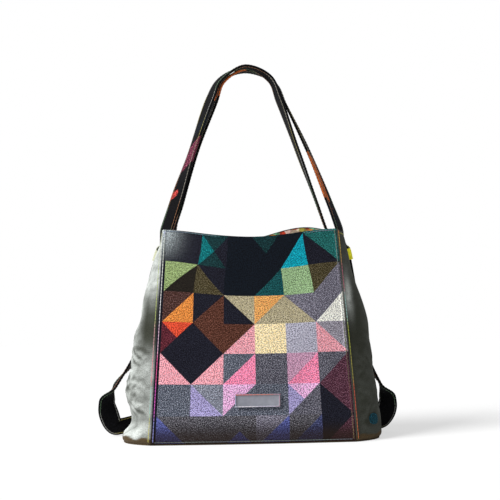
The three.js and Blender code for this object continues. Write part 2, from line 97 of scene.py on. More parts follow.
PLATE_WIDTH = 66 * MM
PLATE_HEIGHT = 19 * MM
PLATE_THICKNESS = 2.4 * MM
PLATE_RIM = 2 * MM
PLATE_RECESS = 0.9 * MM
PLATE_CORNER = 2.5 * MM
PLATE_EDGE = 0.35 * MM
PLATE_CENTRE_X = 6 * MM
PLATE_CENTRE_HEIGHT = 63 * MM

# Soft creases across a side: height at its middle, rise from front to back, depth, half breadth and lean.
# Depth is a share of the side's bulge, and the other lengths are shares of the bag's height. A crease of
# less than no depth is a swell. Two values paint light on the canvas: how much painted light the whole side
# gets, pale where lit and dark olive in shade, and how strong a painted patch of sunlight beside its front
# seam is.
LEFT_SIDE = {
    "sign": -1,
    "tuck": 24 * MM,
    "creases": [
        (0.352, 0.145, 0.104, 0.0535, 1),
        (0.572, -0.12, 0.083, 0.0566, 1),
        (0.88, 0, 0.146, 0.082, 1.6),
        (0.9, 0, -0.083, 0.107, 0.6),
    ],
    "crumple": 3.4 * MM,
    "painted_light": 0.5,
    "painted_sunlit_patch": 0.12,
    "seed": 3.7,
}
RIGHT_SIDE = {
    "sign": 1,
    "tuck": 0,
    "creases": [
        (0.302, -0.094, 0.0625, 0.0566, 1),
        (0.472, 0.126, 0.0625, 0.063, 1),
        (0.582, 0, -0.1875, 0.22, 1),
        (0.943, 0, -0.208, 0.126, 0.6),
        (0.994, 0, -0.167, 0.0755, 0.6),
    ],
    "crumple": 1.1 * MM,
    "painted_light": 0.04,
    "painted_sunlit_patch": 0.8,
    "seed": 11.2,
}

# The straps' routes, each laid out as on the right: loop keys are out from the side's widest part,
# behind the middle plane, height and twist
LEFT_STRAP = {
    "name": "left",
    "mirror": -1,
    "side": LEFT_SIDE,
    "far_side": RIGHT_SIDE,
    "arch_y": -ARCH_Y,
    "apex_x": -HANDLE_APEX,
    "loop": [(6, 46, 15, 88), (16, 43, 15, 86), (26, 38, 33, 74), (31, 34, 55, 44), (21, 31, 80, -12)],
    "loop_top": 132 * MM,
    "climb": 0.72,
    "keeper_slack": 0.8 * MM,
    "keeper_twist": 7,
    "corner_out": -7.5 * MM,
    "corner_twist": -54,
    "near_bow": 1 * MM,
    "near_twists": [-50, -27, -33, -26],
    "near_crown": 0.4,
    "crossing": 11 * MM,
    "crown_share": 0.8,
    "foot_in": 3.5 * MM,
    "foot_twist": -8,
    "far_bow": 0,
    "far_twists": [-6, 3, 14, 13],
    "far_crown": 1,
}
RIGHT_STRAP = {
    "name": "right",
    "mirror": 1,
    "side": RIGHT_SIDE,
    "far_side": LEFT_SIDE,
    "arch_y": ARCH_Y,
    "apex_x": HANDLE_APEX,
    "loop": [(4, 46, 15, 88), (12, 43, 18, 86), (21, 38, 35, 74), (24, 34, 54, 46), (15, 31, 77, -6)],
    "loop_top": 112 * MM,
    "climb": 0.6,
    "keeper_slack": 1 * MM,
    "keeper_twist": 8,
    "corner_out": -5.7 * MM,
    "corner_twist": -34,
    "near_bow": 4 * MM,
    "near_twists": [-28, -19, -12, -14],
    "near_crown": 1,
    "crossing": 7.5 * MM,
    "crown_share": 0.65,
    "foot_in": 0,
    "foot_twist": 0,
    "far_bow": 4 * MM,
    "far_twists": [-14, -11, -20, -24],
    "far_crown": 0.4,
}
CLIMB_KEYS = [(0, 20, 3 * MM), (0.36, 34, 2 * MM), (0.7, 24, 2 * MM)]
LEG_KEYS = [(0.224 * SHOULDER_RISE, 0.7, 0.3), (0.615 * SHOULDER_RISE, 1, 0.5), (SHOULDER_RISE, 0, 0.9)]
SEWN_SHARES = [0.4, 0.7, 1]
LAP_KEYS = 2

# The seams: pressed open, stitched down on both sides, with a groove at the join
SEAM_GROOVE = 1.3 * MM
GROOVE_BREADTH = 0.8 * MM
STRIP_WIDTH = 4.8 * MM
STRIP_EDGE = 0.9 * MM
STRIP_RAISE = 0.9 * MM
STITCH_INSET = 3.4 * MM
STITCH_DENT = 0.3 * MM
DENT_BREADTH = 0.6 * MM
STRIP_COLUMNS = [d * MM for d in (0, 0.4, 0.9, 1.5, 2.3, 2.9, 3.4, 3.9, 4.6, 5.1, 5.6, 7.0)]
STITCH_LENGTH = 4.8 * MM
STITCH_PITCH = 5 * MM
THREAD_RADIUS = 0.6 * MM

# The share of a side, beside its seam, whose way out is taken for the whole strip
SEAM_TURN = 0.006

# The patchwork: columns and rows of square blocks, with the first row at the top
BLOCK_COLUMNS = 6
BLOCK_ROWS = 7
BLOCK_HEIGHT = 45.7 * MM
PATTERN_TOP = 316 * MM
CELLS_PER_BLOCK = 8
FOOT_CELLS = 12

# How the printed rows hang in the middle, slope down to the right and gather towards the middle at the top
ROW_HANG = 18 * MM
ROW_HANG_POWER = 2.2
ROW_SLOPE = 5 * MM
ROW_SLOPE_POWER = 1.5
ROW_TOP_SHARE = 0.15
FOOT_CROWDING = 1.6
TOP_GATHER = 0.13
TOP_GATHER_START = 0.7
GATHER_POWER = 6

# Soft swells of the front in mm, and hollows of less than no height: middle across and up, reach across and
# up, and height
FRONT_SWELLS = [
    (-78, 36, 62, 13, 3.2), (40, 33, 70, 12, 3.0), (-20, 16, 120, 8, -1.5), (78, 92, 22, 30, -2.6),
    (104, 196, 32, 34, 3.0), (62, 214, 26, 26, -2.2), (-92, 118, 44, 22, -2.0), (-60, 262, 40, 24, 2.0),
]

# Slack of the front and back: its size, depth and start above the foot, and the flat place behind the plate
SLACK_SIZE = 70 * MM
SLACK_DEPTH = 2.2 * MM
SLACK_START = 60 * MM
PLATE_SEAT_ACROSS = 45 * MM
PLATE_SEAT_UP = 22 * MM

# Where a painted sheen makes the cloth pale: at the top of the seam on the left of each face
SHEEN_BREADTH = 23 * MM
SHEEN_FOOT = 262 * MM

# How far up the foot of the front and back is darkened by painted shade
FOOT_SHADE_STRENGTH = 0.82
FOOT_SHADE_LOW = 10 * MM
FOOT_SHADE_HIGH = 37 * MM

CAMERA_PLACE = Vector((-0.0555, -1.2718, 0.188))
CAMERA_YAW = math.radians(2.53)
CAMERA_PITCH = math.radians(4.49)
CAMERA_ROLL = math.radians(-0.73)
CAMERA_LENS_MM = 59.0
CAMERA_SENSOR_MM = 36.0


# Numbers

def lerp(a, b, share):
    return a + (b - a) * share


def clamp(value, low, high):
    return max(low, min(high, value))


def smoothstep(value, low, high):
    share = clamp((value - low) / (high - low), 0, 1)
    return share * share * (3 - 2 * share)


def bell(value, middle, breadth, power=2):
    """1 at the middle, and less and less to both sides of it."""
    return math.exp(-(((value - middle) / breadth) ** power))


def linear(hex_colour):
    """An sRGB hex value as a linear colour with alpha."""
    channels = [int(hex_colour[i:i + 2], 16) / 255 for i in (1, 3, 5)]
    return [c / 12.92 if c <= 0.04045 else ((c + 0.055) / 1.055) ** 2.4 for c in channels] + [1.0]


# Form of the body at a level

def edge_inset(level):
    below = clamp(BASE_ROUND - level, 0, BASE_ROUND)
    return BASE_ROUND - math.sqrt(BASE_ROUND ** 2 - below ** 2)


def seam_half_width(level):
    return lerp(FRONT_WIDTH_BOTTOM, FRONT_WIDTH_TOP, level / BAG_HEIGHT) / 2


def seam_half_depth(level):
    lean = clamp(level / BAG_HEIGHT, 0, 1) ** LEAN_POWER
    return lerp(BASE_DEPTH, MOUTH_DEPTH, lean) / 2 - edge_inset(level)


def face_bow(level):
    return lerp(FACE_BOW_BASE, FACE_BOW_TOP, smoothstep(level, 0, BAG_HEIGHT / 2))


def face_depth(x, level):
    """Distance of the front's or back's outer face from the middle plane."""
    return seam_half_depth(level) + face_bow(level) * (1 - (x / seam_half_width(level)) ** 2)


def face_point(facing, across, level):
    """A point on the front, which faces -1, or the back, which faces 1; across is -1 to 1 along +X."""
    crown = 1 - across ** 2
    y = facing * (seam_half_depth(level) + face_bow(level) * crown)
    sag = (FRONT_SAG if facing < 0 else BACK_SAG) * crown ** 2
    if facing > 0:
        sag -= BACK_LIFT * math.sin(math.pi * clamp(across, 0, 1) ** LIFT_LEAN)
    drop = sag * (level / BAG_HEIGHT) ** SAG_POWER
    return Vector((across * seam_half_width(level), y, level - drop))


def side_pull(side, share, level):
    """How far the tuck and the creases pull a side in."""
    spread = TUCK_SPREAD_BELOW if level < TUCK_HEIGHT else TUCK_SPREAD_ABOVE
    forward = math.sin(math.pi * share ** TUCK_FORWARD) ** 2
    tuck = side["tuck"] * bell(level, TUCK_HEIGHT, spread) * forward
    creased = 0
    for height, rise, depth, breadth, lean in side["creases"]:
        middle = height + rise * (share - 0.5)
        creased += depth * bell(level / BAG_HEIGHT, middle, breadth) * math.sin(math.pi * share ** lean) ** 2
    return tuck + creased * SIDE_BULGE


def side_reach(side, share, level):
    """A side's outer face, from the middle plane; share runs from 0 at the front to 1 at the back."""
    up = clamp(level / BAG_HEIGHT, 0, 1)
    fullness = lerp(SIDE_FULLNESS_BASE, SIDE_FULLNESS_TOP, up)
    bulge = SIDE_BULGE * (1 - up ** 2) - edge_inset(level)
    fold = TOP_FOLD * smoothstep(level, BAG_HEIGHT - TOP_FOLD_HEIGHT, BAG_HEIGHT)
    swell = bulge * (1 - abs(2 * share - 1) ** fullness)
    drawn_in = fold * math.sin(math.pi * share) ** 2 + side_pull(side, share, level)
    return seam_half_width(level) + swell - drawn_in


def side_point(side, share, level):
    back = 2 * share - 1
    drop = SIDE_SAG * (1 - back ** 2) * (level / BAG_HEIGHT) ** SAG_POWER
    x = side["sign"] * side_reach(side, share, level)
    return Vector((x, seam_half_depth(level) * back, level - drop))


def outward(surface, u, v, lowest_u, roughly):
    """The surface's normal at (u, v), on the side that roughly points to; u runs from lowest_u to 1."""
    step_u = 0.004
    step_v = 0.8 * MM
    left, right = max(u - step_u, lowest_u), min(u + step_u, 1)
    low, high = max(v - step_v, WALL_FOOT), min(v + step_v, BAG_HEIGHT)
    normal = (surface(right, v) - surface(left, v)).cross(surface(u, high) - surface(u, low)).normalized()
    return normal if normal.dot(roughly) > 0 else -normal


def seam_relief(distance):
    """Height of the cloth at a distance from a seam: a groove, then a strip that is stitched down."""
    groove = SEAM_GROOVE * bell(distance, 0, GROOVE_BREADTH)
    strip = STRIP_RAISE * (1 - smoothstep(distance, STRIP_WIDTH, STRIP_WIDTH + STRIP_EDGE))
    dent = STITCH_DENT * bell(distance, STITCH_INSET, DENT_BREADTH)
    return strip - groove - dent


# Straps' routes

def outside_seat(side, y, z, twist, width=STRAP_WIDTH):
    level = clamp(z + SIDE_SAG * (z / BAG_HEIGHT) ** SAG_POWER, 0, BAG_HEIGHT)
    half_depth = seam_half_depth(level)
    reach = 0
    for edge in (-1, -0.5, 0, 0.5, 1):
        across = edge * width / 2
        share = clamp((y + across * math.cos(twist)) / half_depth, -1, 1) / 2 + 0.5
        reach = max(reach, side_reach(side, share, level) + across * math.sin(twist))
    return reach + STRAP_THICKNESS / 2 / math.cos(twist) + CLEARANCE


def inside_seat(side, z):
    level = min(z + SIDE_SAG * (z / BAG_HEIGHT) ** SAG_POWER, BAG_HEIGHT - LINING_DROP)
    nearest = min(side_reach(side, share / 12, level) for share in range(1, 12))
    lining_inside = WALL_THICKNESS + CLEARANCE + LINING_THICKNESS
    return nearest - lining_inside - INSIDE_CLEARANCE - STRAP_THICKNESS / 2


def strap_keys(strap):
    """The places of the strap's middle along its route, laid out as on the right, each with its twist."""
    side = strap["side"]
    keys = []

    def add(x, y, z, twist):
        keys.append((Vector((x, y, z)), math.radians(twist)))

    lap_x = seam_half_width(STRAP_LAP_HEIGHT) - STRAP_LAP
    lap_y = face_depth(lap_x, STRAP_LAP_HEIGHT - LOOP_WIDTH / 2) + STRAP_THICKNESS / 2 + CLEARANCE
    add(lap_x, lap_y, STRAP_LAP_HEIGHT, 90)
    add(lap_x + STRAP_LAP, lap_y, STRAP_LAP_HEIGHT, 90)
    for out, behind, height, twist in strap["loop"]:
        add(side_reach(RIGHT_SIDE, 0.5, height * MM) + out * MM, behind * MM, height * MM, twist)
    keeper_z = BAG_HEIGHT - KEEPER_DROP
    for rise, twist, slack in CLIMB_KEYS:
        z = lerp(strap["loop_top"], keeper_z, rise)
        y = seam_half_depth(z) * strap["climb"]
        add(outside_seat(side, y, z, math.radians(twist)) + slack, y, z, twist)
    keeper_y = seam_half_depth(keeper_z) * strap["climb"]
    keeper_twist = math.radians(strap["keeper_twist"])
    keeper_x = outside_seat(side, keeper_y, keeper_z - KEEPER_HEIGHT / 2, keeper_twist, KEEPER_WIDTH)
    strap["keeper_key"] = len(keys)
    add(keeper_x + KEEPER_THICKNESS + KEEPER_CLEARANCE, keeper_y, keeper_z, strap["keeper_twist"])
    corner_seat = outside_seat(side, CORNER_BEHIND, BAG_HEIGHT, math.radians(strap["corner_twist"]))
    corner_x = corner_seat + strap["corner_out"]
    strap["corner_key"] = len(keys)
    add(corner_x, CORNER_BEHIND, BAG_HEIGHT + STRAP_THICKNESS, strap["corner_twist"])

    def leg_keys(sign, foot, crossing, leg_bow, crown_apart, twists):
        places = []
        for rise, bow, apart in LEG_KEYS:
            x = lerp(foot, SHOULDER_HALF - crossing, rise / SHOULDER_RISE) + bow * leg_bow
            places.append((sign * x, apart * strap["arch_y"], BAG_HEIGHT + rise))
        crown_x = CROWN_HALF - crossing * strap["crown_share"]
        places.append((sign * crown_x, crown_apart * strap["arch_y"], BAG_HEIGHT + CROWN_RISE))
        return [(*place, twist) for place, twist in zip(places, twists)]

    far_x = inside_seat(strap["far_side"], BAG_HEIGHT - LINING_DROP) - strap["foot_in"]
    for key in leg_keys(1, corner_x, 0, strap["near_bow"], strap["near_crown"], strap["near_twists"]):
        add(*key)
    strap["apex_key"] = len(keys)
    add(strap["apex_x"], strap["arch_y"], BAG_HEIGHT + HANDLE_RISE, APEX_TWIST)
    far_leg = leg_keys(
        -1, far_x, strap["crossing"], strap["far_bow"], strap["far_crown"], strap["far_twists"]
    )
    for key in reversed(far_leg):
        add(*key)
    add(-far_x, 0, BAG_HEIGHT, strap["foot_twist"])
    for down in SEWN_SHARES:
        z = BAG_HEIGHT - down * STRAP_SEWN_LENGTH
        add(-inside_seat(strap["far_side"], z), 0, z, 0)
    return keys


def route_point(keys, run):
    """A point on the smooth line through the keys, at a run counted in keys."""
    points = [key[0] for key in keys]
    first = clamp(math.floor(run), 0, len(points) - 2)
    p1, p2 = points[first], points[first + 1]
    p0 = points[first - 1] if first > 0 else 2 * p1 - p2
    p3 = points[first + 2] if first + 2 < len(points) else 2 * p2 - p1
    d0, d1, d2 = (math.sqrt((b - a).length) for a, b in ((p0, p1), (p1, p2), (p2, p3)))
    start = ((p1 - p0) / d0 - (p2 - p0) / (d0 + d1) + (p2 - p1) / d1) * d1
    end = ((p2 - p1) / d1 - (p3 - p1) / (d1 + d2) + (p3 - p2) / d2) * d1
    t = run - first
    cube = 2 * p1 - 2 * p2 + start + end
    square = -3 * p1 + 3 * p2 - 2 * start - end
    return p1 + start * t + square * t ** 2 + cube * t ** 3


def strap_width(strap, run):
    """The strap's width at a run: its loop is wider than the rest, and its arch is drawn in."""
    climb_key = LAP_KEYS + len(strap["loop"])
    in_loop = smoothstep(run, LAP_KEYS + 0.5, LAP_KEYS + 2)
    in_loop *= 1 - smoothstep(run, climb_key - 2, climb_key)
    in_arch = 1 - smoothstep(abs(run - strap["apex_key"]), 1, 2)
    return lerp(lerp(STRAP_WIDTH, LOOP_WIDTH, in_loop), ARCH_WIDTH, in_arch)


def strap_station(strap, keys, run):
    """Place of the strap's middle, and its directions ahead, across and out of its face."""
    place = route_point(keys, run)
    step = 0.002
    ahead = (route_point(keys, run + step) - route_point(keys, run - step)).normalized()
    depthwise = (Vector((0, 1, 0)) - ahead * ahead.y).normalized()
    key = clamp(math.floor(run), 0, len(keys) - 2)
    twist = lerp(keys[key][1], keys[key + 1][1], smoothstep(run - key, 0, 1))
    across = depthwise * math.cos(twist) + ahead.cross(depthwise) * math.sin(twist)
    face = across.cross(ahead)
    flip = Vector((strap["mirror"], 1, 1))
    return [vector * flip for vector in (place, ahead, across, face)]


# Mesh helpers

def start_piece(name):
    """Names the primitive that was just added and gives it a body to ride on."""
    piece = bpy.context.object
    piece.name = name
    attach(piece, "root")
    return piece


def add_grid(name, columns, rows, place, flat):
    """A grid of cloth whose points and flat coordinates, in metres, come from its column and row."""
    bpy.ops.mesh.primitive_grid_add(x_subdivisions=columns, y_subdivisions=rows, size=1)
    piece = start_piece(name)
    mesh = piece.data
    across = columns + 1
    assert len(mesh.vertices) == across * (rows + 1)
    points = [place(k % across, k // across) for k in range(len(mesh.vertices))]
    mesh.vertices.foreach_set("co", [c for point in points for c in point])
    set_flat(piece, [flat(k % across, k // across) for k in range(len(points))])
    return piece


def set_flat(piece, flats):
    """Lays the piece's own map over it, from the flat coordinates of its points."""
    mesh = piece.data
    layer = mesh.uv_layers[0]
    layer.name = "flat"
    layer.data.foreach_set("uv", [c for loop in mesh.loops for c in flats[loop.vertex_index]])


def set_values(piece, name, values):
    """Gives each point of the piece a value."""
    layer = piece.data.attributes.new(name, "FLOAT", "POINT")
    layer.data.foreach_set("value", values)


def distances(points):
    """How far it is along a line of points to each of them."""
    run = [0]
    for before, after in zip(points, points[1:]):
        run.append(run[-1] + (after - before).length)
    return run


def choose(piece):
    """Makes the piece the only one that is selected, and the active one."""
    bpy.ops.object.select_all(action="DESELECT")
    piece.select_set(True)
    bpy.context.view_layer.objects.active = piece


def edit(piece, *steps):
    """Runs edit-mode operators on everything in the piece."""
    choose(piece)
    bpy.ops.object.mode_set(mode="EDIT")
    bpy.ops.mesh.select_all(action="SELECT")
    for step in steps:
        step()
    bpy.ops.object.mode_set(mode="OBJECT")


def turn_out():
    """Turns all faces of the piece in edit mode outwards."""
    bpy.ops.mesh.select_all(action="SELECT")
    bpy.ops.mesh.normals_make_consistent(inside=False)


def apply_modifier(piece, kind, **settings):
    modifier = piece.modifiers.new(kind.lower(), kind)
    for name, value in settings.items():
        setattr(modifier, name, value)
    choose(piece)
    bpy.ops.object.modifier_apply(modifier=modifier.name)


def thicken(piece, thickness):
    apply_modifier(piece, "SOLIDIFY", thickness=thickness, offset=-1, use_even_offset=True)


def smooth(piece, degrees=50):
    choose(piece)
    bpy.ops.object.shade_smooth_by_angle(angle=math.radians(degrees))


def finish_piece(piece, material, slot, *nodes):
    piece.data.materials.clear()
    piece.data.materials.append(material)
    if nodes:
        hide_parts(*nodes)
    return piece


# Materials

def add_node(tree, kind, inputs=None, **settings):
    """Adds a node with its settings; each input gets a value, or a link from an output or from the first
    output in use of another node."""
    node = tree.nodes.new("ShaderNode" + kind)
    for name, value in settings.items():
        setattr(node, name, value)
    for socket, value in (inputs or {}).items():
        if isinstance(value, bpy.types.Node):
            value = next(output for output in value.outputs if output.enabled)
        if isinstance(value, bpy.types.NodeSocket):
            tree.links.new(value, node.inputs[socket])
        else:
            node.inputs[socket].default_value = value
    return node


def new_material(name, roughness, sheen=0.0, specular=0.3):
    material = bpy.data.materials.new(name)
    material.use_nodes = True
    shader = material.node_tree.nodes["Principled BSDF"]
    shader.inputs["Roughness"].default_value = roughness
    shader.inputs["Sheen Weight"].default_value = sheen
    shader.inputs["Specular IOR Level"].default_value = specular
    return material, material.node_tree, shader


# Colours are inputs 6 and 7 of a colour mix, and its result is output 2
MIX_A, MIX_B, MIX_RESULT = 6, 7, 2


def link_look(tree, shader, colour, bump):
    """Links a mixed colour and a bump to the shader."""
    tree.links.new(colour.outputs[MIX_RESULT], shader.inputs["Base Color"])
    tree.links.new(bump.outputs["Normal"], shader.inputs["Normal"])


def wave_scale(pitch):
    """The scale of a wave pattern whose bands repeat at a pitch."""
    return 2 * math.pi / 20 / pitch


def weave_height(tree, flat, pitch):
    """Height of a plain weave: warp and weft threads that pass over each other."""
    inputs = {"Vector": flat, "Scale": wave_scale(pitch)}
    warp = add_node(tree, "TexWave", inputs, bands_direction="X").outputs["Fac"]
    weft = add_node(tree, "TexWave", inputs, bands_direction="Y").outputs["Fac"]
    return add_node(tree, "Math", {0: warp, 1: weft}, operation="MULTIPLY")


def patched_dye(tree):
    """The patch's colour inside a patch, and near-black cloth round it."""
    inside = add_node(tree, "Attribute", attribute_name="patch").outputs["Fac"]
    shown = add_node(tree, "Math", {0: inside, 1: 0.0}, operation="GREATER_THAN")
    dye = add_node(tree, "Attribute", attribute_name="dye")
    return add_node(tree, "Mix", {0: shown, MIX_A: linear(DYES["jet"]), MIX_B: dye}, data_type="RGBA")


def pieced_dye(tree):
    """Picks the colour of the quarter of a block that a place is in."""
    dyes = {quarter: add_node(tree, "Attribute", attribute_name=f"dye_{quarter}") for quarter in QUARTERS}
    place = add_node(tree, "SeparateXYZ", {0: add_node(tree, "UVMap", uv_map="block")}).outputs
    upper = add_node(tree, "Math", {0: place["Y"], 1: place["X"]}, operation="GREATER_THAN")
    total = add_node(tree, "Math", {0: place["X"], 1: place["Y"]}, operation="ADD")
    beyond = add_node(tree, "Math", {0: total, 1: 1.0}, operation="GREATER_THAN")
    above = add_node(tree, "Mix", {0: beyond, MIX_A: dyes["left"], MIX_B: dyes["top"]}, data_type="RGBA")
    below = add_node(tree, "Mix", {0: beyond, MIX_A: dyes["bottom"], MIX_B: dyes["right"]}, data_type="RGBA")
    return add_node(tree, "Mix", {0: upper, MIX_A: below, MIX_B: above}, data_type="RGBA")


def heathered_jacquard(name, dye_of):
    """Heathered jacquard upholstery cloth: a matt, slightly furry weave of mixed yarns, so greys are full of
    pale flecks and colours of lighter and darker threads. Its foot is darkened by painted shade, and a
    painted sheen makes it pale in flecks near the top of one seam. Threads are drawn at 1.2 mm so that they
    show."""
    material, tree, shader = new_material(name, 0.95, 0.02, 0.1)
    dye = dye_of(tree)
    flat = add_node(tree, "UVMap", uv_map="flat")
    light_noise = add_node(tree, "TexNoise", {"Vector": flat, "Scale": 1 / (1.2 * MM), "Detail": 2.0})
    light_mask = add_node(tree, "MapRange", {"Value": light_noise, "From Min": 0.52, "From Max": 0.61})
    dark_noise = add_node(
        tree, "TexNoise", {"Vector": flat, "Scale": 1 / (1.5 * MM), "Detail": 2.0, "Distortion": 0.3}
    )
    dark_mask = add_node(tree, "MapRange", {"Value": dark_noise, "From Min": 0.48, "From Max": 0.58})
    _, saturation, value = add_node(tree, "SeparateColor", {0: dye}, mode="HSV").outputs
    greyness = add_node(
        tree, "MapRange",
        {"Value": saturation, "From Min": 0.45, "From Max": 0.85, "To Min": 0.42, "To Max": 0.02},
    )
    shown = add_node(tree, "MapRange", {"Value": value, "From Min": 0.014, "From Max": 0.04})
    paleness = add_node(tree, "Math", {0: greyness, 1: shown}, operation="MULTIPLY")
    gain = add_node(
        tree, "MapRange", {"Value": value, "From Min": 0.012, "From Max": 0.03, "To Min": 1.6, "To Max": 4.0}
    )
    loss = add_node(tree, "MapRange", {"Value": value, "From Min": 0.08, "From Max": 0.4, "To Max": 2.0})
    gain = add_node(tree, "Math", {0: gain, 1: loss}, operation="SUBTRACT")
    bright = add_node(
        tree, "Mix", {0: 1.0, MIX_A: dye, MIX_B: gain}, data_type="RGBA", blend_type="MULTIPLY",
        clamp_result=True,
    )
    pale = add_node(tree, "Mix", {0: paleness, MIX_A: bright, MIX_B: linear("#cfcdd6")}, data_type="RGBA")
    flecked = add_node(tree, "Mix", {0: light_mask, MIX_A: dye, MIX_B: pale}, data_type="RGBA")
    shade = add_node(
        tree, "Mix", {0: dark_mask, MIX_A: linear("#ffffff"), MIX_B: linear("#807c84")}, data_type="RGBA"
    )
    cloth = add_node(
        tree, "Mix", {0: 1.0, MIX_A: flecked, MIX_B: shade}, data_type="RGBA", blend_type="MULTIPLY"
    )
    # Painted shade: the cloth is darker towards its foot
    foot_shade = add_node(tree, "Attribute", attribute_name="foot_shade").outputs["Fac"]
    cloth = add_node(tree, "Mix", {0: foot_shade, MIX_A: cloth, MIX_B: linear("#20160f")}, data_type="RGBA")
    # Painted sheen: pale flecks near the top of one seam
    rub_and_sheen = add_node(tree, "Attribute", attribute_name="rub_and_sheen").outputs["Fac"]
    sheen_flecks = add_node(tree, "MapRange", {"Value": light_mask, "To Min": 0.22, "To Max": 1.0})
    pale_from_rub_and_sheen = add_node(tree, "Math", {0: rub_and_sheen, 1: sheen_flecks}, operation="MULTIPLY")
    cloth = add_node(tree, "Mix", {0: pale_from_rub_and_sheen, MIX_A: cloth, MIX_B: linear("#e8f4f6")}, data_type="RGBA")
    weave = weave_height(tree, flat, 1.2 * MM)
    relief = add_node(tree, "Math", {0: weave, 1: light_noise}, operation="ADD")
    bump = add_node(tree, "Bump", {"Height": relief, "Strength": 0.5, "Distance": 0.4 * MM})
    link_look(tree, shader, cloth, bump)
    return material


def washed_canvas():
    """Washed cotton canvas: dull olive charcoal, with painted light and shade on it: pale grey where painted
    light falls, dark as painted shade in its folds and beside its front seam, and a brown painted shade at
    its foot.
    Threads are drawn at 1.3 mm so that they show."""
    material, tree, shader = new_material("washed_canvas", 0.95, 0.04, 0.15)
    flat = add_node(tree, "UVMap", uv_map="flat")
    painted_lighting = add_node(tree, "Attribute", attribute_name="painted_lighting").outputs["Fac"]
    foot = add_node(tree, "Attribute", attribute_name="foot").outputs["Fac"]
    cloud = add_node(tree, "TexNoise", {"Vector": flat, "Scale": 1 / (16 * MM), "Detail": 5.0})
    patchy = add_node(
        tree, "MapRange", {"Value": cloud, "From Min": 0.3, "From Max": 0.7, "To Min": -0.4, "To Max": 0.4}
    )
    # Painted light and shade: the share of painted light, patchy in places, picks dark olive for shade and
    # pale grey for lit canvas
    blotch = add_node(tree, "Math", {0: painted_lighting, 1: patchy}, operation="MULTIPLY")
    fade = add_node(tree, "Math", {0: painted_lighting, 1: blotch}, operation="ADD", use_clamp=True)
    painted_light = add_node(
        tree, "Mix", {0: fade, MIX_A: linear("#2f3128"), MIX_B: linear("#ccd1cd")}, data_type="RGBA"
    )
    # Painted shade: the canvas is brown at its foot, under the side's bulge
    shaded_foot_colour = add_node(tree, "Mix", {0: foot, MIX_A: painted_light, MIX_B: linear("#4d3f2a")}, data_type="RGBA")
    threads = add_node(tree, "TexNoise", {"Vector": flat, "Scale": 1 / (1.4 * MM), "Detail": 2.0})
    streak = add_node(
        tree, "MapRange", {"Value": threads, "From Min": 0.45, "From Max": 0.68, "To Max": 0.5}
    )
    cloth = add_node(
        tree, "Mix", {0: streak, MIX_A: shaded_foot_colour, MIX_B: linear("#4b4c45")}, data_type="RGBA",
        blend_type="MULTIPLY",
    )
    crinkle = add_node(
        tree, "TexNoise", {"Vector": flat, "Scale": 1 / (7 * MM), "Detail": 3.0, "Distortion": 0.6}
    )
    crinkled = add_node(tree, "Math", {0: crinkle, 1: painted_lighting}, operation="MULTIPLY")
    coarse = add_node(tree, "Bump", {"Height": crinkled, "Strength": 0.7, "Distance": 2.4 * MM})
    weave = weave_height(tree, flat, 1.3 * MM)
    relief = add_node(tree, "Math", {0: weave, 1: threads}, operation="ADD")
    bump = add_node(
        tree, "Bump", {"Height": relief, "Strength": 0.5, "Distance": 0.35 * MM, "Normal": coarse}
    )
    link_look(tree, shader, cloth, bump)
    return material


def printed_cotton():
    """Printed cotton lining: thin, smooth and matt, with rounded fields of warm colour and some mint."""
    material, tree, shader = new_material("printed_cotton", 0.85, 0.05, 0.3)
    flat = add_node(tree, "UVMap", uv_map="flat")
    wander = add_node(tree, "TexNoise", {"Vector": flat, "Scale": 1 / (12 * MM)}).outputs["Color"]
    reach = (7 * MM, 7 * MM, 0.0)
    bent = add_node(tree, "VectorMath", {0: wander, 1: reach, 2: flat}, operation="MULTIPLY_ADD")
    fields = add_node(tree, "TexVoronoi", {"Vector": bent, "Scale": 1 / (9 * MM)})
    pick = add_node(tree, "SeparateColor", {0: fields.outputs["Color"]})
    ramp = add_node(tree, "ValToRGB", {"Fac": pick})
    ramp.color_ramp.interpolation = "CONSTANT"
    prints = ["#f7cf3a", "#f0502f", "#a2342f", "#b5ae4c", "#ffdccf", "#86e0ae", "#f79a36", "#fff0d0"]
    while len(ramp.color_ramp.elements) < len(prints):
        ramp.color_ramp.elements.new(0.5)
    for place, (element, tint) in enumerate(zip(ramp.color_ramp.elements, prints)):
        element.position = place / len(prints)
        element.color = linear(tint)
    rim = add_node(
        tree, "MapRange",
        {"Value": fields.outputs["Distance"], "From Min": 0.42, "From Max": 0.5, "To Max": 0.55},
    )
    cloth = add_node(tree, "Mix", {0: rim, MIX_A: ramp, MIX_B: linear("#5a2326")}, data_type="RGBA")
    weave = weave_height(tree, flat, 0.9 * MM)
    bump = add_node(tree, "Bump", {"Height": weave, "Strength": 0.3, "Distance": 0.2 * MM})
    link_look(tree, shader, cloth, bump)
    return material


def cotton_tape(name, ground, pale_from_rub_and_sheen):
    """Cotton tape: a dense ribbed weave, a little paler where it is rubbed."""
    material, tree, shader = new_material(name, 0.8, 0.1, 0.3)
    flat = add_node(tree, "UVMap", uv_map="flat")
    rub_and_sheen = add_node(tree, "TexNoise", {"Vector": flat, "Scale": 1 / (6 * MM), "Detail": 3.0})
    cloth = add_node(tree, "Mix", {0: rub_and_sheen, MIX_A: linear(ground), MIX_B: linear(pale_from_rub_and_sheen)}, data_type="RGBA")
    weave = weave_height(tree, flat, 1.1 * MM)
    bump = add_node(tree, "Bump", {"Height": weave, "Strength": 0.6, "Distance": 0.3 * MM})
    link_look(tree, shader, cloth, bump)
    return material


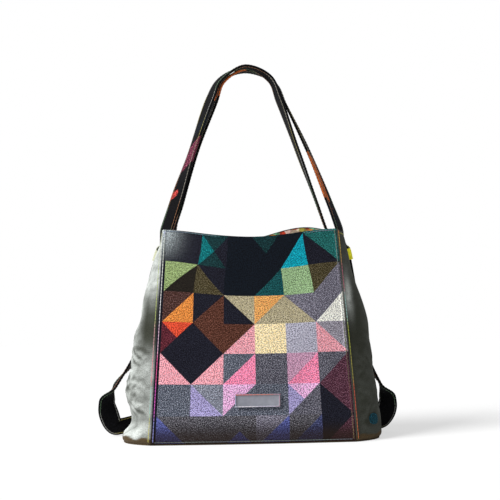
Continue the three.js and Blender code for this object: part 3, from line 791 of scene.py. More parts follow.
def grey_leatherette():
    """Pressed grey leatherette: a satin coat with fine pebbles, and a rim that was pressed by a hot die."""
    material, tree, shader = new_material("grey_leatherette", 0.5, 0.0, 0.5)
    place = add_node(tree, "TexCoord").outputs["Object"]
    pebbles = add_node(tree, "TexVoronoi", {"Vector": place, "Scale": 1 / (0.9 * MM)}).outputs["Distance"]
    cloud = add_node(tree, "TexNoise", {"Vector": place, "Scale": 1 / (7 * MM), "Detail": 4.0})
    coat = add_node(
        tree, "Mix", {0: cloud, MIX_A: linear("#6b6d76"), MIX_B: linear("#8b8d97")}, data_type="RGBA"
    )
    bump = add_node(tree, "Bump", {"Height": pebbles, "Strength": 0.35, "Distance": 0.25 * MM})
    link_look(tree, shader, coat, bump)
    return material


def variegated_thread():
    """Heavy polyester topstitching thread, dyed in changing colours, with a slight gloss and a twist."""
    material, tree, shader = new_material("variegated_thread", 0.55, 0.1, 0.4)
    dye = add_node(tree, "Attribute", attribute_name="dye")
    place = add_node(tree, "TexCoord").outputs["Object"]
    twist = add_node(
        tree, "TexWave", {"Vector": place, "Scale": wave_scale(0.8 * MM), "Distortion": 1.0},
        bands_direction="DIAGONAL",
    ).outputs["Fac"]
    shaded = add_node(
        tree, "Mix", {0: 1.0, MIX_A: dye, MIX_B: linear("#b4b4b4")}, data_type="RGBA", blend_type="MULTIPLY"
    )
    thread = add_node(tree, "Mix", {0: twist, MIX_A: shaded, MIX_B: dye}, data_type="RGBA")
    bump = add_node(tree, "Bump", {"Height": twist, "Strength": 0.4, "Distance": 0.15 * MM})
    link_look(tree, shader, thread, bump)
    return material


# Patchwork of squares and half-square and quarter-square triangles on a near-black ground

DYES = {
    "black": "#151621", "navy": "#0b121b", "charcoal": "#42424c", "slate": "#434a56", "mist": "#6f7480",
    "teal": "#02595c", "cyan": "#0397a9", "pine": "#17534f", "leaf": "#7d9259", "sage": "#8cae79",
    "olive": "#383118", "khaki": "#a89e7a", "umber": "#381f18", "brown": "#45261a", "orange": "#d77f39",
    "apricot": "#eda05a", "cream": "#fffff0", "straw": "#ffe6aa", "red": "#d2462c", "maroon": "#481922",
    "coral": "#f09aa4", "rose": "#ff86a8", "orchid": "#f0addf", "lilac": "#9991c2", "mauve": "#c894b0",
    "plum": "#43202e", "lavender": "#adacbb", "dusk": "#5a5864", "indigo": "#4c5490", "ink": "#30375c",
    "bark": "#39383d", "smoke": "#8a8690", "jet": "#09090c", "wine": "#522030", "rust": "#c0622c",
    "soot": "#1e1a15", "brick": "#a83a35", "fir": "#0c2a2c", "spruce": "#0c4143", "lagoon": "#0d3540",
}

# Column, row, part of the block, and dye; a later patch lies over an earlier one
FRONT_PATCHES = [
    (1, 0, "left", "teal"), (1, 0, "top", "fir"), (1, 0, "bottom", "fir"), (2, 0, "all", "navy"),
    (3, 0, "all", "navy"), (3, 0, "top", "fir"), (4, 0, "upper_left", "navy"),
    (4, 0, "lower_right", "cyan"), (5, 0, "upper_right", "pine"),
    (0, 1, "all", "soot"), (0, 1, "upper_left", "leaf"), (1, 1, "lower_left", "olive"),
    (2, 1, "all", "navy"), (3, 1, "all", "navy"), (3, 1, "lower_right", "spruce"), (4, 1, "all", "sage"),
    (5, 1, "upper_left", "olive"), (5, 1, "lower_right", "dusk"),
    (0, 2, "upper_left", "umber"), (0, 2, "lower_right", "orange"), (1, 2, "lower_right", "brown"),
    (2, 2, "upper_right", "khaki"), (3, 2, "upper_left", "apricot"), (3, 2, "lower_right", "khaki"),
    (4, 2, "lower_left", "khaki"), (4, 2, "upper_right", "dusk"), (5, 2, "upper_left", "dusk"),
    (5, 2, "lower_right", "cream"),
    (0, 3, "top", "red"), (0, 3, "left", "maroon"), (1, 3, "upper_right", "brown"),
    (2, 3, "upper_left", "brown"), (2, 3, "lower_right", "coral"), (3, 3, "all", "straw"),
    (4, 3, "all", "lavender"), (5, 3, "lower_left", "coral"), (5, 3, "upper_right", "smoke"),
    (0, 4, "lower_left", "coral"), (1, 4, "lower_right", "coral"), (2, 4, "upper_left", "slate"),
    (2, 4, "lower_right", "rose"), (3, 4, "all", "charcoal"), (4, 4, "upper_left", "mauve"),
    (4, 4, "lower_right", "rose"), (5, 4, "upper_left", "charcoal"), (5, 4, "lower_right", "plum"),
    (0, 5, "all", "slate"), (1, 5, "lower_left", "lilac"), (1, 5, "upper_right", "mist"),
    (2, 5, "upper_left", "orchid"), (2, 5, "lower_right", "slate"), (3, 5, "all", "slate"),
    (4, 5, "top", "orchid"), (4, 5, "left", "lilac"), (4, 5, "right", "charcoal"),
    (4, 5, "bottom", "charcoal"), (5, 5, "upper_right", "plum"),
    (0, 6, "lower_left", "indigo"), (0, 6, "upper_right", "bark"), (1, 6, "all", "bark"),
    (2, 6, "all", "bark"), (2, 6, "bottom", "indigo"), (3, 6, "upper_left", "dusk"),
    (3, 6, "lower_right", "indigo"), (4, 6, "upper_left", "bark"), (4, 6, "lower_right", "ink"),
    (5, 6, "lower_right", "plum"),
]

BLOCK_PARTS = {
    "all": ("top", "left", "right", "bottom"),
    "upper_left": ("top", "left"),
    "lower_right": ("bottom", "right"),
    "upper_right": ("top", "right"),
    "lower_left": ("bottom", "left"),
    "top": ("top",),
    "bottom": ("bottom",),
    "left": ("left",),
    "right": ("right",),
}
QUARTERS = BLOCK_PARTS["all"]


def block_dyes(column, row):
    """The colours of the four quarters of a block; there is plain ground beside the pattern."""
    dyes = dict.fromkeys(QUARTERS, "black")
    for patch_column, patch_row, part, dye in FRONT_PATCHES:
        if (patch_column, patch_row) == (column, row):
            dyes.update(dict.fromkeys(BLOCK_PARTS[part], dye))
    return {quarter: linear(DYES[dye]) for quarter, dye in dyes.items()}


def printed_level(across, height):
    """The level of the cloth where a place at this height of the pattern has come to lie."""
    up = height / BAG_HEIGHT
    near_top = min(1, (1 - up) / ROW_TOP_SHARE)
    hang = ROW_HANG * up ** ROW_HANG_POWER * (1 - across ** 2) ** 2
    slope = ROW_SLOPE * up ** ROW_SLOPE_POWER * smoothstep(across, 0, 1)
    return max(height - near_top * (hang + slope), WALL_FOOT)


def pattern_heights():
    """Heights of the rows of cells: block lines are kept, and the lowest rows crowd towards the foot."""
    lines = [PATTERN_TOP - k * BLOCK_HEIGHT for k in range(BLOCK_ROWS - 1, -1, -1)]
    heights = [lerp(WALL_FOOT, lines[0], (k / FOOT_CELLS) ** FOOT_CROWDING) for k in range(FOOT_CELLS)]
    for low, high in zip(lines, lines[1:]):
        heights += [lerp(low, high, k / CELLS_PER_BLOCK) for k in range(CELLS_PER_BLOCK)]
    return heights + [PATTERN_TOP, BAG_HEIGHT]


def pattern_columns(height):
    """For each column of cells, its distance from the left seam and its place counted in blocks.
    The pattern starts beside the left seam's strip and runs on into the right seam."""
    width = 2 * seam_half_width(height)
    strip = STRIP_COLUMNS[-1]
    gather = 1 - TOP_GATHER * smoothstep(height / BAG_HEIGHT, TOP_GATHER_START, 1)

    def line(share):
        inner = 2 * share - 1
        return lerp(strip, width, 0.5 + inner / 2 * lerp(gather, 1, abs(inner) ** GATHER_POWER))

    columns = [(distance, distance / strip - 1) for distance in STRIP_COLUMNS[:-1]]
    whole = BLOCK_COLUMNS - 1
    for cell in range(whole * CELLS_PER_BLOCK):
        place = cell / CELLS_PER_BLOCK
        columns.append((line(place / BLOCK_COLUMNS), place))
    last = line(whole / BLOCK_COLUMNS)
    ends = [lerp(last, width - strip, k / CELLS_PER_BLOCK) for k in range(CELLS_PER_BLOCK)]
    ends += [width - distance for distance in reversed(STRIP_COLUMNS)]
    columns += [(distance, whole + (distance - last) / (width - last)) for distance in ends]
    return columns


def dye_blocks(piece, blocks, moved):
    """Lays each block's own square of map over its faces, and its four colours as attributes."""
    mesh = piece.data
    square = []
    colours = {quarter: [] for quarter in QUARTERS}
    for polygon in mesh.polygons:
        corners = [Vector(blocks[k]) for k in polygon.vertices]
        middle = sum(corners, Vector((0, 0))) / len(corners)
        column = min(math.floor(middle.x), BLOCK_COLUMNS - 1)
        up = clamp(math.floor(middle.y), 0, BLOCK_ROWS - 1)
        shown = (column + moved) % BLOCK_COLUMNS if column >= 0 else column
        dyes = block_dyes(shown, BLOCK_ROWS - 1 - up)
        for corner in corners:
            square += [clamp(corner.x - column, 0, 1), clamp(corner.y - up, 0, 1)]
            for quarter in QUARTERS:
                colours[quarter] += dyes[quarter]
    mesh.uv_layers.new(name="block").data.foreach_set("uv", square)
    for quarter in QUARTERS:
        layer = mesh.color_attributes.new(f"dye_{quarter}", "FLOAT_COLOR", "CORNER")
        layer.data.foreach_set("color", colours[quarter])


def front_swell(point):
    """How far the soft front swells out at a point."""
    total = 0
    for across, up, reach_across, reach_up, height in FRONT_SWELLS:
        off = math.hypot((point.x / MM - across) / reach_across, (point.z / MM - up) / reach_up)
        total += height * MM * math.exp(-(off ** 2))
    return total * (1 - (point.x / seam_half_width(point.z)) ** 8)


def patchwork_face(name, facing, moved, material, slot, node):
    """The front or back: patchwork cloth between two seam strips, a little uneven as soft cloth is."""
    heights = pattern_heights()
    columns = [pattern_columns(height) for height in heights]
    foot = PATTERN_TOP - BLOCK_ROWS * BLOCK_HEIGHT
    surface = partial(face_point, facing)

    def spot(column, row):
        half_width = seam_half_width(heights[row])
        across = -facing * (columns[row][column][0] / half_width - 1)
        return across, printed_level(-facing * across, heights[row])

    def place(column, row):
        across, level = spot(column, row)
        relief = seam_relief((1 - abs(across)) * seam_half_width(level))
        point = surface(across, level)
        hollow = noise.noise(Vector((point.x, facing * 0.2, point.z)) / SLACK_SIZE)
        slack = SLACK_DEPTH * hollow * (1 - across ** 4) * smoothstep(level, 0, SLACK_START)
        if facing < 0:
            slack += front_swell(point)
        beside_plate = (point.x - PLATE_CENTRE_X) / PLATE_SEAT_ACROSS
        above_plate = (point.z - PLATE_CENTRE_HEIGHT) / PLATE_SEAT_UP
        slack *= smoothstep(math.hypot(beside_plate, above_plate), 0.8, 1.4)
        return point + outward(surface, across, level, -1, Vector((0, facing, 0))) * (relief + slack)

    def flat(column, row):
        return (columns[row][column][0], heights[row])

    count = len(columns[0])
    piece = add_grid(name, count - 1, len(heights) - 1, place, flat)
    blocks = []
    for row, height in enumerate(heights):
        blocks += [(column[1], (height - foot) / BLOCK_HEIGHT) for column in columns[row]]
    dye_blocks(piece, blocks, moved)
    # Painted sheen near the top of the left seam of each face, and painted shade at the foot
    rub_and_sheen = []
    foot_shade = []
    for row, height in enumerate(heights):
        near_top = smoothstep(height, SHEEN_FOOT, BAG_HEIGHT)
        rub_and_sheen += [near_top * bell(column[0], 0, SHEEN_BREADTH) for column in columns[row]]
        foot_shade += [FOOT_SHADE_STRENGTH * (1 - smoothstep(height, FOOT_SHADE_LOW, FOOT_SHADE_HIGH))] * count
    set_values(piece, "rub_and_sheen", rub_and_sheen)
    set_values(piece, "foot_shade", foot_shade)
    thicken(piece, WALL_THICKNESS)
    smooth(piece)
    return finish_piece(piece, material, slot, node)


# Canvas sides

# How high the brown painted shade at the foot of each side reaches, under its bulge, and how its edge
# wanders and fades
SHADED_FOOT_HEIGHT = 9 * MM
SHADED_FOOT_WANDER = 16 * MM
SHADED_FOOT_EDGE = 2 * MM

# Wrinkles: sizes and weights, how they are stretched, lean and wander, and how sharp their folds are.
# The way they wander is the scene's only random draw.
WRINKLES = [(46 * MM, 1.0), (21 * MM, 0.75), (10 * MM, 0.35)]
WRINKLE_STRETCH = (0.65, 1.25)
WRINKLE_LEAN = (0.5, 0.3)
WRINKLE_SEED = 2
WRINKLE_WANDER = 0.8
WRINKLE_WANDER_SCALE = 0.6
WRINKLE_SHARPNESS = 2.8

# Where the wrinkles fade: beside the seams, to the rear, at the foot, high up and in the tuck
WRINKLE_SEAMS = (3 * MM, 22 * MM)
WRINKLE_REAR = (0.55, 0.75)
WRINKLE_FOOT = (WALL_FOOT, 16 * MM)
WRINKLE_HEAD = (0.36 * BAG_HEIGHT, 0.62 * BAG_HEIGHT)
WRINKLE_TUCK = 22 * MM

# The canvas has painted shade beside the front seam, a painted patch of sunlight at one place there, painted
# light on the ledge under the tuck, and more painted light higher up
SHADE_SEAM = (20 * MM, 50 * MM)
SHADE_LEVEL = 176 * MM
SHADE_HALF_HEIGHT = 50 * MM
SUNLIT_PATCH_LEVEL = 216 * MM
SUNLIT_PATCH_HALF_HEIGHT = 27 * MM
SUNLIT_PATCH_INSET = 11 * MM
SUNLIT_PATCH_HALF_WIDTH = 8 * MM
LIT_LEDGE_LEVEL = 14 * MM
LIT_LEDGE_HALF_HEIGHT = 8 * MM
LIT_LEDGE_SEAM = (12 * MM, 30 * MM)
LIT_LEDGE_FULL_TUCK = 40 * MM
PAINTED_LIGHT_HEIGHTS = (0.35 * BAG_HEIGHT, 0.85 * BAG_HEIGHT)
SIDE_MAP_PLACE = 20 * MM


def crumple(across, level, seed):
    """Wrinkles of much-folded canvas, from about -1 to 1: sharp folds that slope down to the rear."""
    along = WRINKLE_STRETCH[0] * (across + WRINKLE_LEAN[0] * level)
    up = WRINKLE_STRETCH[1] * (level - WRINKLE_LEAN[1] * across)
    total = 0
    for size, weight in WRINKLES:
        spot = Vector((along / size, up / size, seed))
        spot += WRINKLE_WANDER * noise.noise_vector(spot * WRINKLE_WANDER_SCALE)
        total += weight * (1 - WRINKLE_SHARPNESS * abs(noise.noise(spot)))
    return total / sum(weight for _, weight in WRINKLES)


def canvas_side(side, name, material, node):
    """A folding side: canvas between two seam strips, tucked, creased and wrinkled."""
    strips = len(STRIP_COLUMNS) - 1
    middle = 56
    rows = 120
    columns = middle + 2 * strips
    samples = 160
    strip = STRIP_COLUMNS[-1]
    levels = [lerp(WALL_FOOT, BAG_HEIGHT, (row / rows) ** 1.15) for row in range(rows + 1)]
    surface = partial(side_point, side)

    # Along each level, how far it is from the front seam to each share of the way back
    runs = [distances([surface(k / samples, level) for k in range(samples + 1)]) for level in levels]

    def distance_at(column, row):
        length = runs[row][-1]
        if column <= strips:
            return STRIP_COLUMNS[column]
        if column >= columns - strips:
            return length - STRIP_COLUMNS[columns - column]
        return lerp(strip, length - strip, (column - strips) / middle)

    def share_at(distance, row):
        run = runs[row]
        k = 0
        while k < samples - 1 and run[k + 1] < distance:
            k += 1
        return (k + clamp((distance - run[k]) / (run[k + 1] - run[k]), 0, 1)) / samples

    # Painted light and shade at each point, and the brown painted shade at the foot
    painted_lighting = []
    foot = []

    def painted_light_share(distance, level, length, rough):
        """How much painted light the canvas gets: most above its folds, least below them and in painted
        shade beside the front seam.
        """
        across = distance - length / 2
        step = 2.5 * MM
        slope = crumple(across, level + step, side["seed"]) - crumple(across, level - step, side["seed"])
        # Painted shade beside the front seam
        shaded = bell(level, SHADE_LEVEL, SHADE_HALF_HEIGHT, 4) * (1 - smoothstep(distance, *SHADE_SEAM))
        # Painted light and shade of the wrinkles, as if lit from above: pale above a fold, dark below it
        fold_shading = 1 - rough * clamp(2 * slope, -0.5, 0.9)
        # Painted light: the canvas is paler higher up
        high = 0.85 + 0.6 * smoothstep(level, *PAINTED_LIGHT_HEIGHTS)
        # A painted patch of sunlight beside the front seam, strongest on the right side
        sunlit_patch = bell(level, SUNLIT_PATCH_LEVEL, SUNLIT_PATCH_HALF_HEIGHT)
        sunlit_patch *= bell(distance, SUNLIT_PATCH_INSET, SUNLIT_PATCH_HALF_WIDTH)
        # Painted light on the upward face of the ledge under the tuck
        lit_ledge = bell(level, LIT_LEDGE_LEVEL, LIT_LEDGE_HALF_HEIGHT) * smoothstep(distance, *LIT_LEDGE_SEAM)
        pale = side["painted_sunlit_patch"] * sunlit_patch + side["tuck"] / LIT_LEDGE_FULL_TUCK * lit_ledge
        return clamp(side["painted_light"] * (1 - shaded) * fold_shading * high + pale, 0, 1)

    def place(column, row):
        if side["sign"] < 0:
            column = columns - column
        level = levels[row]
        distance = distance_at(column, row)
        share = share_at(distance, row)
        length = runs[row][-1]
        ridge = crumple(distance - length / 2, level, side["seed"])
        rough = smoothstep(min(distance, length - distance), *WRINKLE_SEAMS)
        rough *= 1 - 0.75 * smoothstep(share, *WRINKLE_REAR)
        rough *= smoothstep(level, *WRINKLE_FOOT)
        rough *= 1 - 0.85 * smoothstep(level, *WRINKLE_HEAD)
        if side["tuck"]:
            rough *= 1 - 0.6 * bell(level, TUCK_HEIGHT, WRINKLE_TUCK)
        painted_lighting.append(painted_light_share(distance, level, length, rough))
        # Painted shade at the foot, under the side's bulge, with a wandering edge
        hem = SHADED_FOOT_HEIGHT * (1 + 0.5 * noise.noise(Vector((distance / SHADED_FOOT_WANDER, side["seed"], 0))))
        foot.append(1 - smoothstep(level, hem, hem + SHADED_FOOT_EDGE))
        relief = seam_relief(distance) + seam_relief(length - distance) + side["crumple"] * rough * ridge
        normal = outward(surface, share, level, 0, Vector((side["sign"], 0, 0)))
        if distance < strip:
            normal = outward(surface, SEAM_TURN, level, 0, Vector((0, -1, 0)))
        if length - distance < strip:
            normal = outward(surface, 1 - SEAM_TURN, level, 0, Vector((0, 1, 0)))
        return surface(share, level) + normal * relief

    def flat(column, row):
        return (distance_at(column, row) + SIDE_MAP_PLACE, levels[row])

    piece = add_grid(name, columns, rows, place, flat)
    set_values(piece, "painted_lighting", painted_lighting)
    set_values(piece, "foot", foot)
    thicken(piece, WALL_THICKNESS)
    smooth(piece)
    return finish_piece(piece, material, "canvas", node)


MEND_SHARE = 0.15
MEND_LEVEL = 31 * MM
MEND_HALF_SHARE = 0.05
MEND_HALF_HEIGHT = 8 * MM
MEND_THICKNESS = 1.6 * MM
MEND_ROUNDING = 2.4


def side_mend(material):
    """A small rounded mend on the right side, just above the base."""
    steps = 12
    surface = partial(side_point, RIGHT_SIDE)

    def disc(column, row):
        u, v = 2 * column / steps - 1, 2 * row / steps - 1
        return u * math.sqrt(1 - v * v / MEND_ROUNDING), v * math.sqrt(1 - u * u / MEND_ROUNDING)

    def place(column, row):
        u, v = disc(column, row)
        share = MEND_SHARE + MEND_HALF_SHARE * u
        level = MEND_LEVEL + MEND_HALF_HEIGHT * v
        out = outward(surface, share, level, 0, Vector((1, 0, 0)))
        return surface(share, level) + out * MEND_THICKNESS

    def flat(column, row):
        u, v = disc(column, row)
        return (u * MEND_HALF_HEIGHT, v * MEND_HALF_HEIGHT)

    piece = add_grid("right_side_mend", steps, steps, place, flat)
    layer = piece.data.color_attributes.new("dye", "FLOAT_COLOR", "CORNER")
    layer.data.foreach_set("color", linear(DYES["lagoon"]) * len(piece.data.loops))
    set_values(piece, "patch", [1.0] * len(piece.data.vertices))
    thicken(piece, MEND_THICKNESS)
    smooth(piece)
    return finish_piece(piece, material, "canvas")


# Base and lining

WELT_INSET = 6 * MM
WELT_BREADTH = 0.8 * MM
WELT_DEPTH = 0.5 * MM
BASE_EDGE = 0.5 * MM
BASE_MAP_PLACE = (0.25, 0.1)
LINING_SLACK = 6.5 * MM
LINING_SLACK_TOP = 0.7 * BAG_HEIGHT
LINING_MAP_WIDTH = 0.78


def body_ring(level, face_steps, side_steps):
    """One level of the body, anticlockwise seen from above, starting at the front's left seam."""
    ring = [face_point(-1, 2 * k / face_steps - 1, level) for k in range(face_steps)]
    ring += [side_point(RIGHT_SIDE, k / side_steps, level) for k in range(side_steps)]
    ring += [face_point(1, 1 - 2 * k / face_steps, level) for k in range(face_steps)]
    ring += [side_point(LEFT_SIDE, 1 - k / side_steps, level) for k in range(side_steps)]
    return ring


def inset_ring(ring, depth):
    """The ring moved inwards by a depth, mitred at its corners."""
    moved = []
    for k, point in enumerate(ring):
        before = (point - ring[k - 1]).to_2d().normalized()
        after = (ring[(k + 1) % len(ring)] - point).to_2d().normalized()
        inward = Vector((-before.y - after.y, before.x + after.x)) / (1 + before.dot(after))
        moved.append(point + depth * inward.to_3d())
    return moved


def canvas_base(material):
    """The flat base: one canvas panel with a welted seam near its edge."""
    outline = body_ring(WALL_FOOT, 24, 24)
    bpy.ops.mesh.primitive_circle_add(vertices=len(outline), radius=BASE_DEPTH, fill_type="NGON")
    piece = start_piece("base_cloth")
    for vertex, point in zip(piece.data.vertices, outline):
        vertex.co = (point.x, point.y, 0)
    raise_edge = {"value": (0, 0, BASE_THICKNESS)}
    edit(
        piece,
        lambda: bpy.ops.mesh.extrude_region_move(TRANSFORM_OT_translate=raise_edge),
        turn_out,
        lambda: bpy.ops.mesh.select_mode(type="FACE"),
        lambda: bpy.ops.mesh.select_all(action="DESELECT"),
    )
    for polygon in piece.data.polygons:
        polygon.select = polygon.normal.z < -0.9
    bpy.ops.object.mode_set(mode="EDIT")
    bpy.ops.mesh.inset(thickness=WELT_INSET)
    bpy.ops.mesh.inset(thickness=WELT_BREADTH, depth=-WELT_DEPTH)
    bpy.ops.mesh.inset(thickness=WELT_BREADTH, depth=WELT_DEPTH)
    bpy.ops.object.mode_set(mode="OBJECT")
    apply_modifier(piece, "BEVEL", width=BASE_EDGE, segments=2, limit_method="ANGLE")
    map_x, map_y = BASE_MAP_PLACE
    set_flat(piece, [(vertex.co.x + map_x, vertex.co.y + map_y) for vertex in piece.data.vertices])
    # The whole base is given the brown painted shade of the sides' feet
    set_values(piece, "foot", [1.0] * len(piece.data.vertices))
    smooth(piece, 35)
    return finish_piece(piece, material, "canvas", "base_panel")


def cotton_lining(material):
    """A loose cotton bag inside the outer one, sewn to it along the top edge."""
    face_steps, side_steps, rows = 36, 24, 40
    around = 2 * (face_steps + side_steps)
    rings = []
    for row in range(rows + 1):
        level = lerp(WALL_FOOT + BASE_THICKNESS, BAG_HEIGHT - LINING_DROP, (row / rows) ** 0.85)
        near_top = smoothstep(level, LINING_SLACK_TOP, BAG_HEIGHT)
        depth = lerp(LINING_SLACK, WALL_THICKNESS + CLEARANCE, near_top)
        rings.append(inset_ring(body_ring(level, face_steps, side_steps), depth))

    def place(column, row):
        return rings[row][column % around]

    def flat(column, row):
        return (column * LINING_MAP_WIDTH / around, rings[row][column % around].z)

    piece = add_grid("lining_cloth", around, rows, place, flat)
    edit(
        piece,
        lambda: bpy.ops.mesh.remove_doubles(threshold=0.02 * MM),
        lambda: bpy.ops.mesh.select_mode(type="EDGE"),
        lambda: bpy.ops.mesh.select_all(action="DESELECT"),
    )
    foot = rings[0][0].z + 0.1 * MM
    for edge in piece.data.edges:
        edge.select = all(piece.data.vertices[k].co.z < foot for k in edge.vertices)
    bpy.ops.object.mode_set(mode="EDIT")
    bpy.ops.mesh.edge_face_add()
    turn_out()
    bpy.ops.object.mode_set(mode="OBJECT")
    thicken(piece, LINING_THICKNESS)
    smooth(piece, 60)
    return finish_piece(piece, material, "lining_print", "lining")


# Straps

STRAP_EDGE_COLUMNS = [a * MM for a in (12.5, 12.3, 11.7, 10.9, 10.3, 9.8, 9.3, 8.4, 5.5, 2.5)]
STRAP_EDGE_POWER = 16
STRAP_STITCH_INSET = 2.7 * MM
STRAP_DENT = 0.3 * MM
STRAP_DENT_BREADTH = 0.7 * MM
STRAP_STEPS_PER_KEY = 14


def strap_section():
    """Outline of the strap across its length: two folded layers, dented along the stitching."""
    across = [-a for a in STRAP_EDGE_COLUMNS] + STRAP_EDGE_COLUMNS[::-1]
    upper = []
    for a in across:
        share = abs(a) / (STRAP_WIDTH / 2)
        height = STRAP_THICKNESS / 2 * math.sqrt(max(0, 1 - share ** STRAP_EDGE_POWER))
        height -= STRAP_DENT * bell(STRAP_WIDTH / 2 - abs(a), STRAP_STITCH_INSET, STRAP_DENT_BREADTH)
        upper.append((a, max(height, 0)))
    lower = [(a, -height) for a, height in reversed(upper[1:-1])]
    return upper + lower


# Patches on a strap: leg, heights in metres, the half of the width that it is on or 0 for both, and dye
STRAP_PATCHES = {
    "left": [
        ("near", 0.416, 0.456, 0, "wine"), ("near", 0.373, 0.385, 1, "brick"),
        ("near", 0.470, 0.490, 0, "navy"),
    ],
    "right": [
        ("near", 0.360, 0.432, -1, "rust"), ("near", 0.318, 0.352, 0, "navy"),
        ("far", 0.524, 0.568, -1, "rust"),
    ],
}
STRAP_PATCH_SLANT = 0.9


def strap_patch(strap, run, height, across):
    """How far inside the nearest patch a place is, less than nothing outside it, and the patch's dye."""
    leg = "near" if run < strap["apex_key"] else "far"
    slanted = height + STRAP_PATCH_SLANT * across
    nearest = (-1.0, "jet")
    for patch_leg, low, high, edge, dye in STRAP_PATCHES[strap["name"]]:
        if patch_leg == leg and run > strap["corner_key"]:
            inside = min(slanted - low, high - slanted)
            if edge:
                inside = min(inside, across * edge)
            nearest = max(nearest, (inside, dye))
    return nearest


def strap_runs(keys):
    steps = (len(keys) - 1) * STRAP_STEPS_PER_KEY
    return [(len(keys) - 1) * k / steps for k in range(steps + 1)]


def cloth_strap(strap, material):
    """One strap along its route, with patches of other cloth. Its length and area are noted with it."""
    keys = strap_keys(strap)
    section = strap_section()
    around = len(section)
    runs = strap_runs(keys)
    stations = [strap_station(strap, keys, run) for run in runs]
    lengths = distances([station[0] for station in stations])

    def place(column, row):
        middle, _, across, face = stations[column]
        a, out = section[row % around]
        widened = a * strap_width(strap, runs[column]) / STRAP_WIDTH
        return middle + across * widened + face * out

    def flat(column, row):
        return (lengths[column], row * 2 * STRAP_WIDTH / around)

    name = strap["name"]
    piece = add_grid(f"{name}_strap_cloth", len(stations) - 1, around, place, flat)
    patches = [
        strap_patch(strap, runs[column], stations[column][0].z, section[row % around][0])
        for row in range(around + 1) for column in range(len(stations))
    ]
    set_values(piece, "patch", [inside for inside, _ in patches])
    layer = piece.data.color_attributes.new("dye", "FLOAT_COLOR", "POINT")
    layer.data.foreach_set("color", [c for _, dye in patches for c in linear(DYES[dye])])
    edit(
        piece,
        lambda: bpy.ops.mesh.remove_doubles(threshold=0.01 * MM),
        lambda: bpy.ops.mesh.select_all(action="SELECT"),
        lambda: bpy.ops.mesh.fill_holes(sides=0),
        turn_out,
    )
    smooth(piece, 40)
    strap["length"] = lengths[-1]
    paces = [after - before for before, after in zip(lengths, lengths[1:])]
    strap["area"] = sum(pace * strap_width(strap, run) for pace, run in zip(paces, runs))
    return finish_piece(piece, material, "strap_cloth", f"{name}_strap")


# Heights of the tape's rows from its middle, with more of them at the hems
KEEPER_ROWS = [r * MM for r in (-10, -9.6, -8.8, -7.4, -7.0, -4, 0, 4, 7.0, 7.4, 8.8, 9.6, 10)]
KEEPER_HEM = 7.2 * MM
KEEPER_HEM_RAISE = 0.35 * MM


def tape_keeper(strap, material):
    """A loop of tape round the strap, sewn to the side, with hemmed edges."""
    keys = strap_keys(strap)
    at_keeper = strap["keeper_key"]
    step = 0.01
    low, high = (strap_station(strap, keys, at_keeper + way * step)[0] for way in (-1, 1))
    pace = (high - low).length / (2 * step)
    seated_out = STRAP_THICKNESS / 2 + KEEPER_CLEARANCE
    half_across = KEEPER_WIDTH / 2
    flat_steps, round_steps = 10, 24
    outline = []
    for k in range(flat_steps + 1):
        outline.append((half_across * (2 * k / flat_steps - 1), -seated_out - KEEPER_THICKNESS))
    for k in range(round_steps + 1):
        angle = math.pi * k / round_steps
        bow = (strap["keeper_slack"] + KEEPER_THICKNESS) * math.sin(angle)
        outline.append((half_across * math.cos(angle), seated_out + bow))
    around = len(outline)
    stations = [strap_station(strap, keys, at_keeper + rise / pace) for rise in KEEPER_ROWS]

    def place(column, row):
        middle, _, across, face = stations[row]
        spot = Vector(outline[column % around])
        if abs(KEEPER_ROWS[row]) > KEEPER_HEM:
            spot += spot.normalized() * KEEPER_HEM_RAISE
        return middle + across * spot.x + face * spot.y

    def flat(column, row):
        return (column * 2 * KEEPER_WIDTH / around, KEEPER_ROWS[row] + KEEPER_HEIGHT)

    name = strap["name"]
    piece = add_grid(f"{name}_keeper_cloth", around, len(KEEPER_ROWS) - 1, place, flat)
    edit(piece, lambda: bpy.ops.mesh.remove_doubles(threshold=0.01 * MM), turn_out)
    thicken(piece, KEEPER_THICKNESS)
    smooth(piece, 40)
    return finish_piece(piece, material, "keeper_cloth", f"{name}_keeper")


# Plate

def plate_matrix():
    """Where the plate's back lies on the lean of the front."""
    foot = face_depth(PLATE_CENTRE_X, PLATE_CENTRE_HEIGHT - PLATE_HEIGHT / 2)
    head = face_depth(PLATE_CENTRE_X, PLATE_CENTRE_HEIGHT + PLATE_HEIGHT / 2)
    lean = math.atan2(foot - head, PLATE_HEIGHT)
    out = face_depth(PLATE_CENTRE_X, PLATE_CENTRE_HEIGHT) + 2 * CLEARANCE
    place = Matrix.Translation((PLATE_CENTRE_X, -out, PLATE_CENTRE_HEIGHT))
    return place @ Matrix.Rotation(math.pi / 2 - lean, 4, "X")


def select_upright_edges(mesh):
    for edge in mesh.edges:
        ends = [mesh.vertices[k].co for k in edge.vertices]
        edge.select = abs(ends[0].z - ends[1].z) > PLATE_THICKNESS / 2


